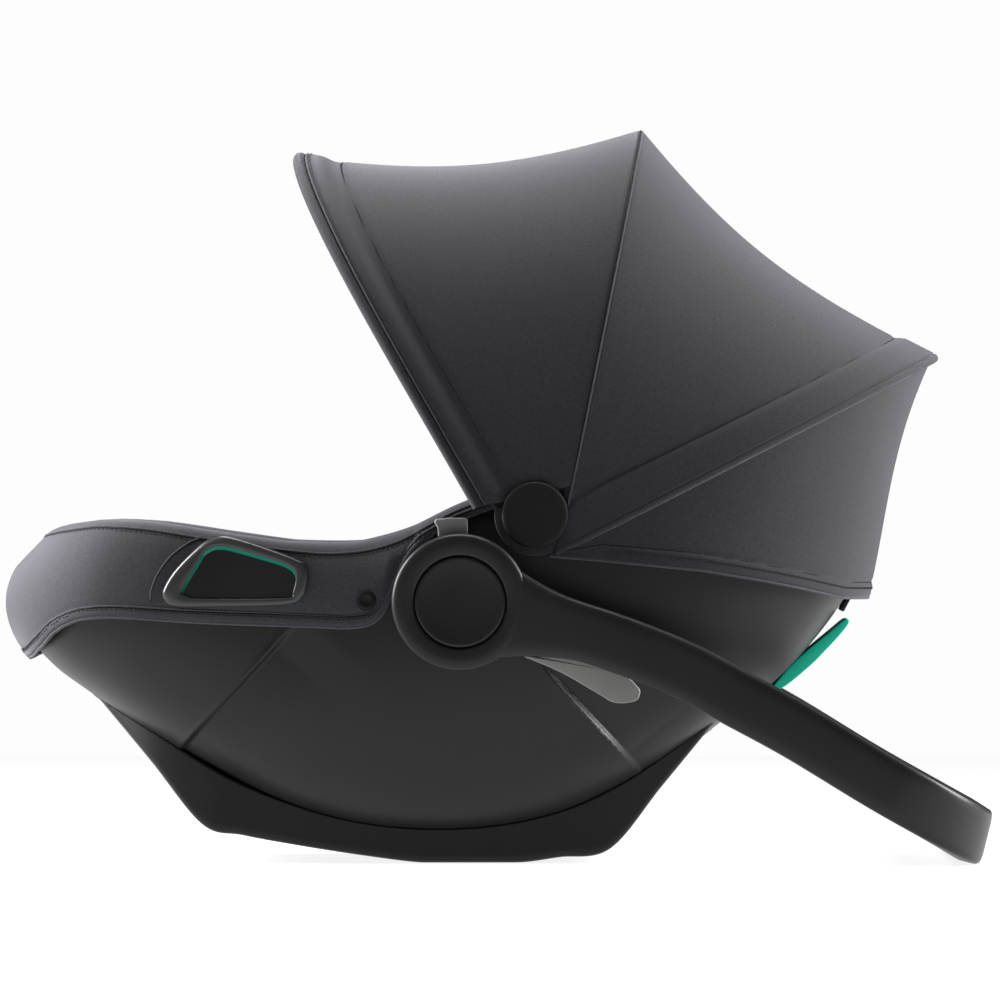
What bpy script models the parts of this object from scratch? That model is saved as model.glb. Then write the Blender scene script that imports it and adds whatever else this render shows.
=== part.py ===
"""Infant car seat: tub, rocker base, carry handle, folding canopy and harness, in metres.

The origin lies on the ground under the middle of the seat. +Z is up, +X runs from the foot end
to the head end, and Y is the seat's symmetry axis. The child's left side is -Y.
"""
import math

import bmesh
import bpy
import numpy as np
from mathutils import Matrix, Vector
from mathutils.bvhtree import BVHTree

GAP = 0.0003
CENTER_SHIFT = 0.0029  # puts the origin under the middle of the whole length

# Tub: keel x, keel z, rim x, rim half-width, rim z, from the foot tip to the head tip
TUB_STATIONS = [
    (-0.345, 0.242, -0.345, 0.000, 0.242), (-0.366, 0.223, -0.343, 0.040, 0.243),
    (-0.373, 0.198, -0.337, 0.080, 0.246), (-0.365, 0.172, -0.322, 0.115, 0.250),
    (-0.345, 0.149, -0.297, 0.140, 0.254), (-0.315, 0.127, -0.262, 0.153, 0.252),
    (-0.268, 0.092, -0.220, 0.160, 0.245), (-0.213, 0.055, -0.175, 0.166, 0.238),
    (-0.152, 0.029, -0.125, 0.172, 0.234), (-0.090, 0.015, -0.080, 0.177, 0.242),
    (-0.025, 0.012, -0.030, 0.180, 0.268), (0.040, 0.023, 0.025, 0.180, 0.286),
    (0.090, 0.047, 0.080, 0.180, 0.292), (0.137, 0.080, 0.135, 0.176, 0.292),
    (0.180, 0.113, 0.185, 0.165, 0.287), (0.220, 0.144, 0.228, 0.143, 0.280),
    (0.258, 0.188, 0.262, 0.108, 0.272), (0.284, 0.232, 0.284, 0.058, 0.265),
    (0.292, 0.262, 0.292, 0.000, 0.262),
]
# Bowl that the child lies in: the same five values at each station
BOWL_STATIONS = [
    (-0.322, 0.246, -0.322, 0.000, 0.246), (-0.318, 0.226, -0.318, 0.045, 0.248),
    (-0.300, 0.197, -0.308, 0.085, 0.252), (-0.270, 0.173, -0.285, 0.116, 0.255),
    (-0.240, 0.152, -0.250, 0.133, 0.252), (-0.205, 0.131, -0.205, 0.141, 0.245),
    (-0.157, 0.101, -0.155, 0.147, 0.238), (-0.110, 0.077, -0.105, 0.153, 0.239),
    (-0.060, 0.062, -0.060, 0.157, 0.252), (-0.005, 0.067, -0.010, 0.159, 0.273),
    (0.050, 0.095, 0.045, 0.159, 0.287), (0.095, 0.125, 0.100, 0.157, 0.291),
    (0.135, 0.154, 0.150, 0.151, 0.289), (0.178, 0.188, 0.195, 0.140, 0.284),
    (0.218, 0.222, 0.235, 0.116, 0.279), (0.248, 0.247, 0.258, 0.080, 0.274),
    (0.265, 0.262, 0.268, 0.044, 0.270), (0.271, 0.270, 0.271, 0.000, 0.270),
]
TUB_WALL = 0.003
FOCUS = Vector((-0.030, 0.0, 0.262))  # point over the seat that sees all of the tub and the bowl

# Seat cover
COVER_THICKNESS = 0.002
COVER_CROWN = 0.011
COVER_COLUMNS = 23
COVER_HEM = [(-0.400, 0.150), (-0.357, 0.163), (-0.330, 0.184), (-0.300, 0.191), (-0.226, 0.186),
             (-0.149, 0.183), (-0.111, 0.182), (-0.093, 0.188), (-0.085, 0.201), (-0.077, 0.220),
             (-0.062, 0.242), (-0.033, 0.266), (0.000, 0.276), (0.060, 0.285), (0.135, 0.284),
             (0.200, 0.274), (0.260, 0.262), (0.300, 0.250)]
LINER_OFFSET = 0.0055
LINER_THICKNESS = 0.009

# Rocker base: bottom profile x, z, half-width
BASE_STATIONS = [(-0.3150, 0.1300, 0.050), (-0.2700, 0.0780, 0.085), (-0.2295, 0.0290, 0.100),
                 (-0.1980, 0.0207, 0.104), (-0.1520, 0.0125, 0.108), (-0.1060, 0.0055, 0.110),
                 (-0.0600, 0.0000, 0.112), (-0.0200, 0.0000, 0.112), (0.0150, 0.0000, 0.111),
                 (0.0455, 0.0040, 0.110), (0.0850, 0.0105, 0.106), (0.1250, 0.0585, 0.098),
                 (0.1646, 0.1063, 0.088)]
# Line that the tub shows above the base: x, z
BASE_TOP = [(-0.315, 0.146), (-0.288, 0.119), (-0.258, 0.092), (-0.213, 0.064), (-0.182, 0.049),
            (-0.152, 0.038), (-0.106, 0.026), (-0.053, 0.020), (0.000, 0.022), (0.046, 0.034),
            (0.076, 0.0475), (0.106, 0.0665), (0.137, 0.087), (0.1646, 0.108)]
BASE_WALL = 0.003
LATCH_BAR_X = (-0.108, 0.036)
LATCH_BAR_RADIUS = 0.003
LATCH_BAR_Z = 0.0120
LATCH_BAR_REACH = 0.1012

# Handle
HUB_X, HUB_Z = -0.0304, 0.2016
HUB_RADIUS = 0.052
HANDLE_Y = 0.2095
HANDLE_THICKNESS = 0.022
HANDLE_WIDTH = 0.044
HANDLE_LINE = [(-0.0304, 0.2016), (0.0304, 0.1862), (0.0760, 0.1745), (0.1369, 0.1510),
               (0.1825, 0.1269), (0.2282, 0.1020), (0.2890, 0.0650), (0.3355, 0.0385),
               (0.3632, 0.0226)]
HANDLE_CORNER = 0.075
HANDLE_CORNER_WIDTH = 0.080
HANDLE_TWIST = math.radians(16.0)

# Canopy
PIVOT_X, PIVOT_Z = 0.0266, 0.2676
PANEL_Y = 0.1908
PANEL_THICKNESS = 0.002
CANOPY_EXPONENT = 2.35
FRONT_PANEL_START = 0.03  # arch angle where the front panel begins, just above the pivot pin
REAR_HOOP_START = 0.036  # arch angle where the fixed rear hoop begins, clear of the moving ones
FRONT_EDGE = ((-0.0076, 0.2600), (-0.1544, 0.5458))
MIDDLE_SEAM = ((0.0518, 0.2752), (0.1100, 0.5668))
REAR_SEAM = ((0.0427, 0.2417), (0.3360, 0.3905))
SKIRT_HEM = [(0.038, 0.2363), (0.0762, 0.2332), (0.1525, 0.2256), (0.1987, 0.2178),
             (0.230, 0.2116), (0.2625, 0.2040), (0.2860, 0.2033)]
HOOP_WIDTH = 0.010
HOOP_THICKNESS = 0.0024
HUB_PLATE_RADIUS = 0.0235

# Back rest plane that the headrest slides along
BACK_X, BACK_Z = 0.110, 0.135
BACK_ANGLE = math.radians(36.9)
BACK_UP = Vector((math.cos(BACK_ANGLE), 0.0, math.sin(BACK_ANGLE)))
BACK_OUT = Vector((-math.sin(BACK_ANGLE), 0.0, math.cos(BACK_ANGLE)))


# ---------------------------------------------------------------- scene and materials

def clear_scene():
    for obj in list(bpy.data.objects):
        bpy.data.objects.remove(obj, do_unlink=True)


def material(name, color, roughness, metallic=0.0):
    mat = bpy.data.materials.new(name)
    mat.use_nodes = True
    shader = mat.node_tree.nodes["Principled BSDF"]
    shader.inputs["Base Color"].default_value = (*color, 1.0)
    shader.inputs["Roughness"].default_value = roughness
    shader.inputs["Metallic"].default_value = metallic
    return mat


SHELL_PLASTIC = (0.030, 0.030, 0.032)
BLACK_PLASTIC = (0.012, 0.012, 0.013)
GREY_PLASTIC = (0.220, 0.220, 0.220)
GREEN_PLASTIC = (0.003, 0.290, 0.190)
RED_PLASTIC = (0.520, 0.012, 0.012)
DARK_FABRIC = (0.050, 0.048, 0.052)
WEBBING = (0.020, 0.020, 0.022)
STEEL = (0.450, 0.450, 0.460)
FOAM = (0.040, 0.040, 0.040)


def add_part(name, bm, color, origin=(0.0, 0.0, 0.0), roughness=0.5, metallic=0.0, smooth=True):
    """Make a named object from bm, with its origin at the given point, and free bm."""
    mesh = bpy.data.meshes.new(name)
    bm.to_mesh(mesh)
    bm.free()
    mesh.transform(Matrix.Translation(-Vector(origin)))
    if smooth:
        mesh.shade_smooth()
        mesh.set_sharp_from_angle(angle=math.radians(35.0))
    mesh.materials.append(material(name, color, roughness, metallic))
    obj = bpy.data.objects.new(name, mesh)
    obj.location = origin
    bpy.context.collection.objects.link(obj)
    return obj


def add_helper(name, bm):
    """Make an object that only cuts or joins another, and is not a part itself."""
    mesh = bpy.data.meshes.new(name)
    bm.to_mesh(mesh)
    bm.free()
    obj = bpy.data.objects.new(name, mesh)
    obj.hide_render = True
    obj.display_type = "WIRE"
    bpy.context.collection.objects.link(obj)
    return obj


def combine(obj, helper, operation):
    boolean = obj.modifiers.new(operation.lower(), "BOOLEAN")
    boolean.object = helper
    boolean.operation = operation
    boolean.solver = "EXACT"


def thicken(obj, thickness, offset=0.0):
    solidify = obj.modifiers.new("wall", "SOLIDIFY")
    solidify.thickness = thickness
    solidify.offset = offset
    solidify.use_even_offset = True


def mirrored(bm):
    """A copy of bm on the other side of the symmetry plane."""
    other = bm.copy()
    bmesh.ops.scale(other, vec=(1.0, -1.0, 1.0), verts=other.verts)
    bmesh.ops.reverse_faces(other, faces=other.faces)
    return other


def add_pair(base_name, bm, color, origin=(0.0, 0.0, 0.0), **options):
    """A left piece from bm, which lies on the -Y side, and its mirrored right piece."""
    other = mirrored(bm)
    x, y, z = origin
    left = add_part(f"{base_name}_left", bm, color, (x, y, z), **options)
    right = add_part(f"{base_name}_right", other, color, (x, -y, z), **options)
    return left, right


# ---------------------------------------------------------------- curves and sections

def smooth_curve(points, samples=400):
    """Dense points of a Catmull-Rom curve through the given points, of any dimension."""
    p = np.array(points, float)
    p = np.vstack([2 * p[0] - p[1], p, 2 * p[-1] - p[-2]])
    last = len(points) - 1
    out = []
    for t in np.linspace(0.0, last, samples):
        i = min(int(t), last - 1)
        f = t - i
        a, b, c, d = p[i:i + 4]
        out.append(0.5 * (2 * b + (c - a) * f + (2 * a - 5 * b + 4 * c - d) * f ** 2
                          + (3 * b - a - 3 * c + d) * f ** 3))
    return np.array(out)


def even_points(curve, count):
    """Points evenly spaced by length along a dense curve."""
    steps = np.linalg.norm(np.diff(curve, axis=0), axis=1)
    length = np.concatenate([[0.0], np.cumsum(steps)])
    at = np.linspace(0.0, length[-1], count)
    return np.array([np.interp(at, length, column) for column in curve.T]).T


def section_point(station, phi, exponent):
    """A point of the superellipse section from the keel (phi 0) to the rim (phi 90 degrees)."""
    keel_x, keel_z, rim_x, half_width, rim_z = station
    across = math.sin(phi) ** (2.0 / exponent)
    up = 1.0 - max(math.cos(phi), 0.0) ** (2.0 / exponent)
    return Vector((keel_x + (rim_x - keel_x) * up, -half_width * across,
                   keel_z + (rim_z - keel_z) * up))


def section_grid(table, stations, rows, squareness):
    """Grid of points of a tub-like surface on the -Y side."""
    places = even_points(smooth_curve(table), stations)
    grid = []
    for i, station in enumerate(places):
        exponent = 2.3 + squareness * math.sin(math.pi * i / (stations - 1)) ** 0.7
        grid.append([section_point(station, phi, exponent)
                     for phi in np.linspace(0.0, math.pi / 2, rows)])
    return grid


def grid_mesh(grid, mirror=True):
    """A sheet from rows of points, joined to its mirror image across the symmetry plane."""
    bm = bmesh.new()
    verts = [[bm.verts.new(p) for p in row] for row in grid]
    for upper, lower in zip(verts, verts[1:]):
        for i in range(len(upper) - 1):
            bm.faces.new((upper[i], upper[i + 1], lower[i + 1], lower[i]))
    bmesh.ops.remove_doubles(bm, verts=bm.verts, dist=1e-5)
    if mirror:
        for vert in bm.verts:
            if abs(vert.co.y) < 1e-6:
                vert.co.y = 0.0
        bmesh.ops.mirror(bm, geom=bm.verts[:] + bm.edges[:] + bm.faces[:], axis="Y",
                         merge_dist=1e-6)
    bmesh.ops.remove_doubles(bm, verts=bm.verts, dist=1e-5)
    bmesh.ops.recalc_face_normals(bm, faces=bm.faces)
    lowest = min(bm.faces, key=lambda face: face.calc_center_median().z)
    if lowest.normal.z > 0:
        bmesh.ops.reverse_faces(bm, faces=bm.faces)
    return bm


def surface_tree(table, squareness):
    bm = grid_mesh(section_grid(table, 90, 40, squareness))
    tree = BVHTree.FromBMesh(bm)
    bm.free()
    return tree


TUB_SQUARENESS = 1.2
BOWL_SQUARENESS = 0.9
TUB_TREE = surface_tree(TUB_STATIONS, TUB_SQUARENESS)
BOWL_TREE = surface_tree(BOWL_STATIONS, BOWL_SQUARENESS)


def seen_from_focus(tree, heading, elevation, offset):
    """Point of a surface in a direction from the focus, moved along the outward normal."""
    ray = Vector((math.cos(heading) * math.cos(elevation),
                  -math.sin(heading) * math.cos(elevation), math.sin(elevation)))
    hit, normal, _, _ = tree.ray_cast(FOCUS, ray)
    if hit is None:
        raise ValueError(f"no surface at heading {heading:.3f}, elevation {elevation:.3f}")
    if normal.dot(ray) < 0:
        normal = -normal
    point = hit + normal * offset
    if min(heading, math.pi - heading) < 1e-6:
        point.y = 0.0
    return point


def heading_and_elevation(point):
    away = Vector(point) - FOCUS
    heading = math.atan2(abs(away.y), away.x)
    return heading, math.atan2(away.z, math.hypot(away.x, away.y))


def tub_side(x, z, offset):
    """Point of the tub's left side at x and z, moved out by offset, also just above the rim."""
    rim_z = float(np.interp(x, [s[2] for s in TUB_STATIONS], [s[4] for s in TUB_STATIONS]))
    start = Vector((x, -0.4, min(z, rim_z - 0.003)))
    hit, normal, _, _ = TUB_TREE.ray_cast(start, Vector((0.0, 1.0, 0.0)))
    return Vector((x, hit.y - offset / max(0.3, abs(normal.y)), z))


# ---------------------------------------------------------------- solid makers

def turned(profile, x, z, segments=32):
    """Turn a profile of (radius, distance from the symmetry plane) about a Y axis, left side."""
    bm = bmesh.new()
    verts = [bm.verts.new((x + radius, -y, z)) for radius, y in profile]
    pairs = list(zip(verts, verts[1:]))
    if profile[0][0] > 0 or profile[-1][0] > 0:
        pairs.append((verts[-1], verts[0]))
    edges = [bm.edges.new(pair) for pair in pairs]
    bmesh.ops.spin(bm, geom=verts + edges, cent=(x, 0.0, z), axis=(0.0, 1.0, 0.0),
                   angle=2 * math.pi, steps=segments, use_merge=True)
    bmesh.ops.remove_doubles(bm, verts=bm.verts, dist=1e-6)
    bmesh.ops.recalc_face_normals(bm, faces=bm.faces)
    return bm


def plate(outline, y_inner, y_outer, bevel=0.0):
    """A flat plate with an outline of (x, z) points, between two distances on the left side."""
    bm = bmesh.new()
    face = bm.faces.new([bm.verts.new((x, -y_inner, z)) for x, z in outline])
    made = bmesh.ops.extrude_face_region(bm, geom=[face])
    moved = [item for item in made["geom"] if isinstance(item, bmesh.types.BMVert)]
    bmesh.ops.translate(bm, verts=moved, vec=(0.0, y_inner - y_outer, 0.0))
    bmesh.ops.recalc_face_normals(bm, faces=bm.faces)
    if bevel:
        edges = [edge for edge in bm.edges if all(vert in moved for vert in edge.verts)]
        bmesh.ops.bevel(bm, geom=edges, offset=bevel, segments=1, profile=0.5, affect="EDGES")
    return bm


def block(center, size, angle=0.0, bevel=0.0, taper=1.0):
    """A box turned about Y by angle, with its length rising towards +X for positive angles."""
    bm = bmesh.new()
    bmesh.ops.create_cube(bm, size=1.0)
    for vert in bm.verts:
        if vert.co.x > 0:
            vert.co.y *= taper
    bmesh.ops.scale(bm, vec=size, verts=bm.verts)
    if bevel:
        bmesh.ops.bevel(bm, geom=bm.edges[:], offset=bevel, segments=1, profile=0.5,
                        affect="EDGES")
    turn = Matrix.Rotation(-angle, 4, "Y")
    bmesh.ops.transform(bm, matrix=Matrix.Translation(center) @ turn, verts=bm.verts)
    bmesh.ops.recalc_face_normals(bm, faces=bm.faces)
    return bm


def rod(start, end, radius, sides=16):
    bm = bmesh.new()
    axis = Vector(end) - Vector(start)
    bmesh.ops.create_cone(bm, cap_ends=True, segments=sides, radius1=radius, radius2=radius,
                          depth=axis.length)
    turn = axis.to_track_quat("Z", "Y").to_matrix().to_4x4()
    middle = (Vector(start) + Vector(end)) / 2
    bmesh.ops.transform(bm, matrix=Matrix.Translation(middle) @ turn, verts=bm.verts)
    return bm


def rounded_section(width, height, chamfer):
    w, h, c = width / 2, height / 2, chamfer
    return [(w, -h + c), (w, h - c), (w - c, h), (-w + c, h), (-w, h - c), (-w, -h + c),
            (-w + c, -h), (w - c, -h)]


def flat_section(width, height):
    w, h = width / 2, height / 2
    return [(w, -h), (w, h), (-w, h), (-w, -h)]


def swept(points, sides, normals, sections):
    """Sweep closed sections along points. Each section's pairs lie along side and normal."""
    bm = bmesh.new()
    rings = []
    for point, side, normal, section in zip(points, sides, normals, sections):
        rings.append([bm.verts.new(point + side * a + normal * b) for a, b in section])
    for first, second in zip(rings, rings[1:]):
        count = len(first)
        for i in range(count):
            j = (i + 1) % count
            bm.faces.new((first[i], first[j], second[j], second[i]))
    bm.faces.new(rings[0])
    bm.faces.new(rings[-1])
    bmesh.ops.recalc_face_normals(bm, faces=bm.faces)
    return bm


def path_frames(points, up):
    """Side and normal directions along a path, with normals as near to up as they can be."""
    sides = []
    normals = []
    for i in range(len(points)):
        ahead = points[min(i + 1, len(points) - 1)] - points[max(i - 1, 0)]
        side = ahead.cross(up).normalized()
        sides.append(side)
        normals.append(side.cross(ahead).normalized())
    return sides, normals


def strap(route, width, thickness, count=10, up=Vector((0.0, 0.0, 1.0))):
    """Webbing along a smooth route, flat side towards up."""
    points = [Vector(p) for p in even_points(smooth_curve(route, 120), count)]
    sides, normals = path_frames(points, up)
    return swept(points, sides, normals, [flat_section(width, thickness)] * count)


def back_point(along, across, out):
    """A point in the back rest's frame: up the slope, across, and out from the slope."""
    base = Vector((BACK_X, across, BACK_Z))
    return base + BACK_UP * along + BACK_OUT * out


# ---------------------------------------------------------------- tub, base and liner

def build_tub():
    shell = add_part("seat_shell", grid_mesh(section_grid(TUB_STATIONS, 28, 9, TUB_SQUARENESS)),
                     SHELL_PLASTIC, roughness=0.55)
    thicken(shell, TUB_WALL, -1.0)
    liner_grid = bowl_grid(LINER_OFFSET + LINER_THICKNESS / 2, 8, 0.015)
    liner = add_part("seat_liner", grid_mesh(liner_grid), FOAM, roughness=0.9)
    thicken(liner, LINER_THICKNESS)


def rim_headings():
    """Heading, elevation and point of evenly spaced places on the tub's rim, left side."""
    curve = smooth_curve([(s[2], -s[3], s[4]) for s in TUB_STATIONS])
    return [(*heading_and_elevation(p), Vector(p)) for p in even_points(curve, COVER_COLUMNS)]


def bowl_rim_elevation(heading):
    places = [heading_and_elevation((s[2], -s[3], s[4])) for s in BOWL_STATIONS]
    headings = [place[0] for place in places][::-1]
    elevations = [place[1] for place in places][::-1]
    return float(np.interp(heading, headings, elevations))


def bowl_grid(offset, rows, lowered):
    """Columns from the bowl's lowest point up to its rim, one for each place on the rim."""
    grid = []
    for heading, _, _ in rim_headings():
        top = bowl_rim_elevation(heading) - 0.012 - lowered
        bottom = -math.pi / 2
        column = [seen_from_focus(BOWL_TREE, 0.0, bottom + 1e-5, offset)]
        for step in range(1, rows):
            elevation = bottom + (top - bottom) * step / (rows - 1)
            column.append(seen_from_focus(BOWL_TREE, heading, elevation, offset))
        grid.append(column)
    return grid


def cover_offset(x):
    """Distance from the tub to the middle of the cover, which is padded at both ends."""
    return float(np.interp(x, [-0.30, -0.20, -0.10, 0.14, 0.22],
                           [0.0095, 0.0060, 0.0018, 0.0018, 0.0040]))


def hem_elevation(heading, top):
    """Elevation where the tub's surface reaches the cover's hem line."""
    heights = COVER_HEM
    low, high = -1.2, top
    for _ in range(24):
        middle = (low + high) / 2
        point = seen_from_focus(TUB_TREE, heading, middle, 0.0)
        hem_z = np.interp(point.x, [h[0] for h in heights], [h[1] for h in heights])
        if point.z > hem_z:
            high = middle
        else:
            low = middle
    return high


def build_cover():
    inner = bowl_grid(0.0, 8, 0.0)
    grid = []
    for column, (heading, elevation, rim) in zip(inner, rim_headings()):
        top = elevation - 0.012
        hem = min(hem_elevation(heading, top), top - 0.01)
        offset = cover_offset(rim.x)
        outside = [seen_from_focus(TUB_TREE, heading, hem + (top - hem) * step / 2, offset)
                   for step in range(3)]
        start, end = outside[-1], column[-1]
        across = end - start
        crown = [start + across * f + Vector((0.0, 0.0, COVER_CROWN * h))
                 for f, h in ((0.02, 0.62), (0.25, 1.0), (0.75, 1.0), (0.98, 0.55))]
        row = outside + crown + column[::-1]
        grid.append(row)
    cover = add_part("seat_cover", grid_mesh(grid), DARK_FABRIC, roughness=0.9)
    thicken(cover, COVER_THICKNESS)


def closed_box(stations, inset, lift, rise):
    """Solid of the base's outline, with its walls moved in, its floor lifted and its top raised."""
    top_x = [p[0] for p in BASE_TOP]
    top_z = [p[1] for p in BASE_TOP]
    corner = 0.005
    grid = []
    for x, z, half_width in stations:
        top = max(float(np.interp(x, top_x, top_z)) + rise, z + 0.006)
        w = half_width - inset
        low = max(z, 0.0) + lift
        section = ((0, low), (-w + 0.030, low), (-w + corner, low), (-w, low + corner), (-w, top),
                   (0, top))
        grid.append([Vector((x, across, height)) for across, height in section])
    bm = grid_mesh(grid)
    bmesh.ops.holes_fill(bm, edges=[e for e in bm.edges if e.is_boundary])
    bmesh.ops.recalc_face_normals(bm, faces=bm.faces)
    return bm


def build_base():
    stations = even_points(smooth_curve(BASE_STATIONS), 26)
    base = add_part("rocker_base", closed_box(stations, 0.0, 0.0, 0.012), BLACK_PLASTIC)
    tub = grid_mesh(section_grid(TUB_STATIONS, 36, 12, TUB_SQUARENESS))
    bmesh.ops.holes_fill(tub, edges=[e for e in tub.edges if e.is_boundary])
    bmesh.ops.recalc_face_normals(tub, faces=tub.faces)
    for vert in tub.verts:
        vert.co += vert.normal * 0.0012
    combine(base, add_helper("tub_cutter", tub), "DIFFERENCE")
    hollow = closed_box(stations, BASE_WALL, BASE_WALL, 0.060)
    combine(base, add_helper("base_hollow", hollow), "DIFFERENCE")
    opening = block((-0.036, 0.0, 0.0), (0.170, 0.120, 0.024))
    combine(base, add_helper("base_opening", opening), "DIFFERENCE")
    for x, end in zip(LATCH_BAR_X, ("front", "rear")):
        bar = rod((x, -LATCH_BAR_REACH, LATCH_BAR_Z), (x, LATCH_BAR_REACH, LATCH_BAR_Z),
                  LATCH_BAR_RADIUS, 12)
        add_part(f"latch_bar_{end}", bar, STEEL, roughness=0.3, metallic=1.0)


def skin_disc(outline, depths, scales):
    """A low solid on the tub's side: rings of one outline at set depths and scales, closed."""
    middle_x = sum(p[0] for p in outline) / len(outline)
    middle_z = sum(p[1] for p in outline) / len(outline)
    bm = bmesh.new()
    rings = []
    for depth, scale in zip(depths, scales):
        ring = []
        for x, z in outline:
            sx = middle_x + (x - middle_x) * scale
            sz = middle_z + (z - middle_z) * scale
            ring.append(bm.verts.new(tub_side(sx, sz, depth)))
        rings.append(ring)
    for first, second in zip(rings, rings[1:]):
        for i in range(len(first)):
            j = (i + 1) % len(first)
            bm.faces.new((first[i], first[j], second[j], second[i]))
    for ring, depth in ((rings[0], depths[0]), (rings[-1], depths[-1])):
        center = bm.verts.new(tub_side(middle_x, middle_z, depth))
        for i in range(len(ring)):
            bm.faces.new((ring[i], ring[(i + 1) % len(ring)], center))
    bmesh.ops.recalc_face_normals(bm, faces=bm.faces)
    return bm


GUIDE_OUTLINE = [(-0.2575, 0.2102), (-0.2483, 0.2255), (-0.2292, 0.2446), (-0.2177, 0.2505),
                 (-0.2078, 0.2515), (-0.1834, 0.2446), (-0.1528, 0.2332), (-0.1459, 0.2270),
                 (-0.1467, 0.2140), (-0.1505, 0.2049), (-0.1643, 0.1988), (-0.2292, 0.1972),
                 (-0.2506, 0.1980), (-0.2567, 0.2026)]


def build_tub_fittings():
    base = 0.0105
    scales = [0.001 + s for s in (0.33, 0.66, 0.97, 1.0, 0.97, 0.84, 0.76, 0.50, 0.25)]
    depths = [base, base, base, base + 0.002, base + 0.005, base + 0.005, base + 0.002,
              base + 0.0016, base + 0.0016]
    add_pair("belt_guide", skin_disc(GUIDE_OUTLINE, depths, scales), BLACK_PLASTIC)
    lining = skin_disc(GUIDE_OUTLINE, [base + 0.0019 + GAP, base + 0.0024 + GAP,
                                       base + 0.0029 + GAP, base + 0.0029 + GAP],
                       [0.3, 0.66, 0.66, 0.3])
    add_pair("belt_guide_lining", lining, GREEN_PLASTIC)
    stud_x, stud_z, stud_r = -0.102, 0.202, 0.0076
    seat = -tub_side(stud_x, stud_z, 0.0036).y
    stud = turned([(0, seat), (stud_r, seat), (stud_r, seat + 0.0015),
                   (stud_r * 0.6, seat + 0.003), (0, seat + 0.003)], stud_x, stud_z, 16)
    add_pair("cover_stud", stud, BLACK_PLASTIC)
    outline = [(0.2085, 0.1305), (0.2300, 0.1320), (0.2480, 0.1475), (0.2640, 0.1650),
               (0.2735, 0.1850), (0.2700, 0.1865), (0.2560, 0.1700), (0.2400, 0.1560),
               (0.2300, 0.1500)]
    hook = plate(outline, -0.030, 0.030)
    add_part("shoulder_belt_hook", hook, GREEN_PLASTIC)
    clip = block((0.2690, 0.0, 0.1990), (0.014, 0.040, 0.004), math.radians(62.0), 0.0008)
    add_part("cover_hook_rear", clip, BLACK_PLASTIC)


# ---------------------------------------------------------------- handle and hubs

SOCKET_IN, SOCKET_OUT = 0.1815, 0.1975
RECESS_DEPTH = 0.1890
RECESS_RADIUS = 0.030
POST_RADIUS = 0.012
POST_OUT = 0.2125
GEAR_IN, GEAR_OUT = 0.1955, 0.2035
GEAR_TEETH = 12


def build_sockets():
    profile = [(0, SOCKET_IN), (0.046, SOCKET_IN), (0.046, SOCKET_OUT),
               (RECESS_RADIUS, SOCKET_OUT), (RECESS_RADIUS, RECESS_DEPTH),
               (POST_RADIUS, RECESS_DEPTH), (POST_RADIUS, POST_OUT), (0.0033, POST_OUT),
               (0.0033, 0.195), (0, 0.195)]
    pair = add_pair("hub_socket", turned(profile, HUB_X, HUB_Z, 32), BLACK_PLASTIC)
    for obj, side in zip(pair, (-1, 1)):
        y = side * 0.1918
        notch = block((-0.0375, y, 0.2535), (0.034, 0.0145, 0.026))
        combine(obj, add_helper(f"button_notch_{obj.name}", notch), "DIFFERENCE")
        y = side * 0.1885
        slot = block((-0.0304, y, 0.1540), (0.030, 0.0060, 0.026))
        channel = block((-0.0110, y, 0.1610), (0.034, 0.0060, 0.0085))
        combine(obj, add_helper(f"adapter_slot_{obj.name}", slot), "DIFFERENCE")
        combine(obj, add_helper(f"pawl_channel_{obj.name}", channel), "DIFFERENCE")


def build_hub_internals():
    outer = []
    for i in range(GEAR_TEETH * 4):
        angle = 2 * math.pi * i / (GEAR_TEETH * 4)
        radius = 0.028 if i % 4 < 2 else 0.0245
        outer.append((HUB_X + radius * math.cos(angle), HUB_Z + radius * math.sin(angle)))
    gear = plate(outer, GEAR_IN, GEAR_OUT)
    pair = add_pair("lock_gear", gear, GREY_PLASTIC, (HUB_X, -GEAR_IN, HUB_Z), smooth=False)
    for obj, side in zip(pair, (-1, 1)):
        bore = rod((HUB_X, side * 0.180, HUB_Z), (HUB_X, side * 0.230, HUB_Z), 0.0125, 24)
        helper = add_helper(f"gear_bore_{obj.name}", bore)
        combine(obj, helper, "DIFFERENCE")
    screw = turned([(0, 0.1965), (0.0030, 0.1965), (0.0030, POST_OUT + GAP),
                    (0.0170, POST_OUT + GAP), (0.0170, POST_OUT + 0.0018),
                    (0.0070, POST_OUT + 0.0018), (0.0070, POST_OUT + 0.0033),
                    (0, POST_OUT + 0.0033)], HUB_X, HUB_Z, 16)
    add_pair("hub_screw", screw, STEEL, roughness=0.3, metallic=1.0)


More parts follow.
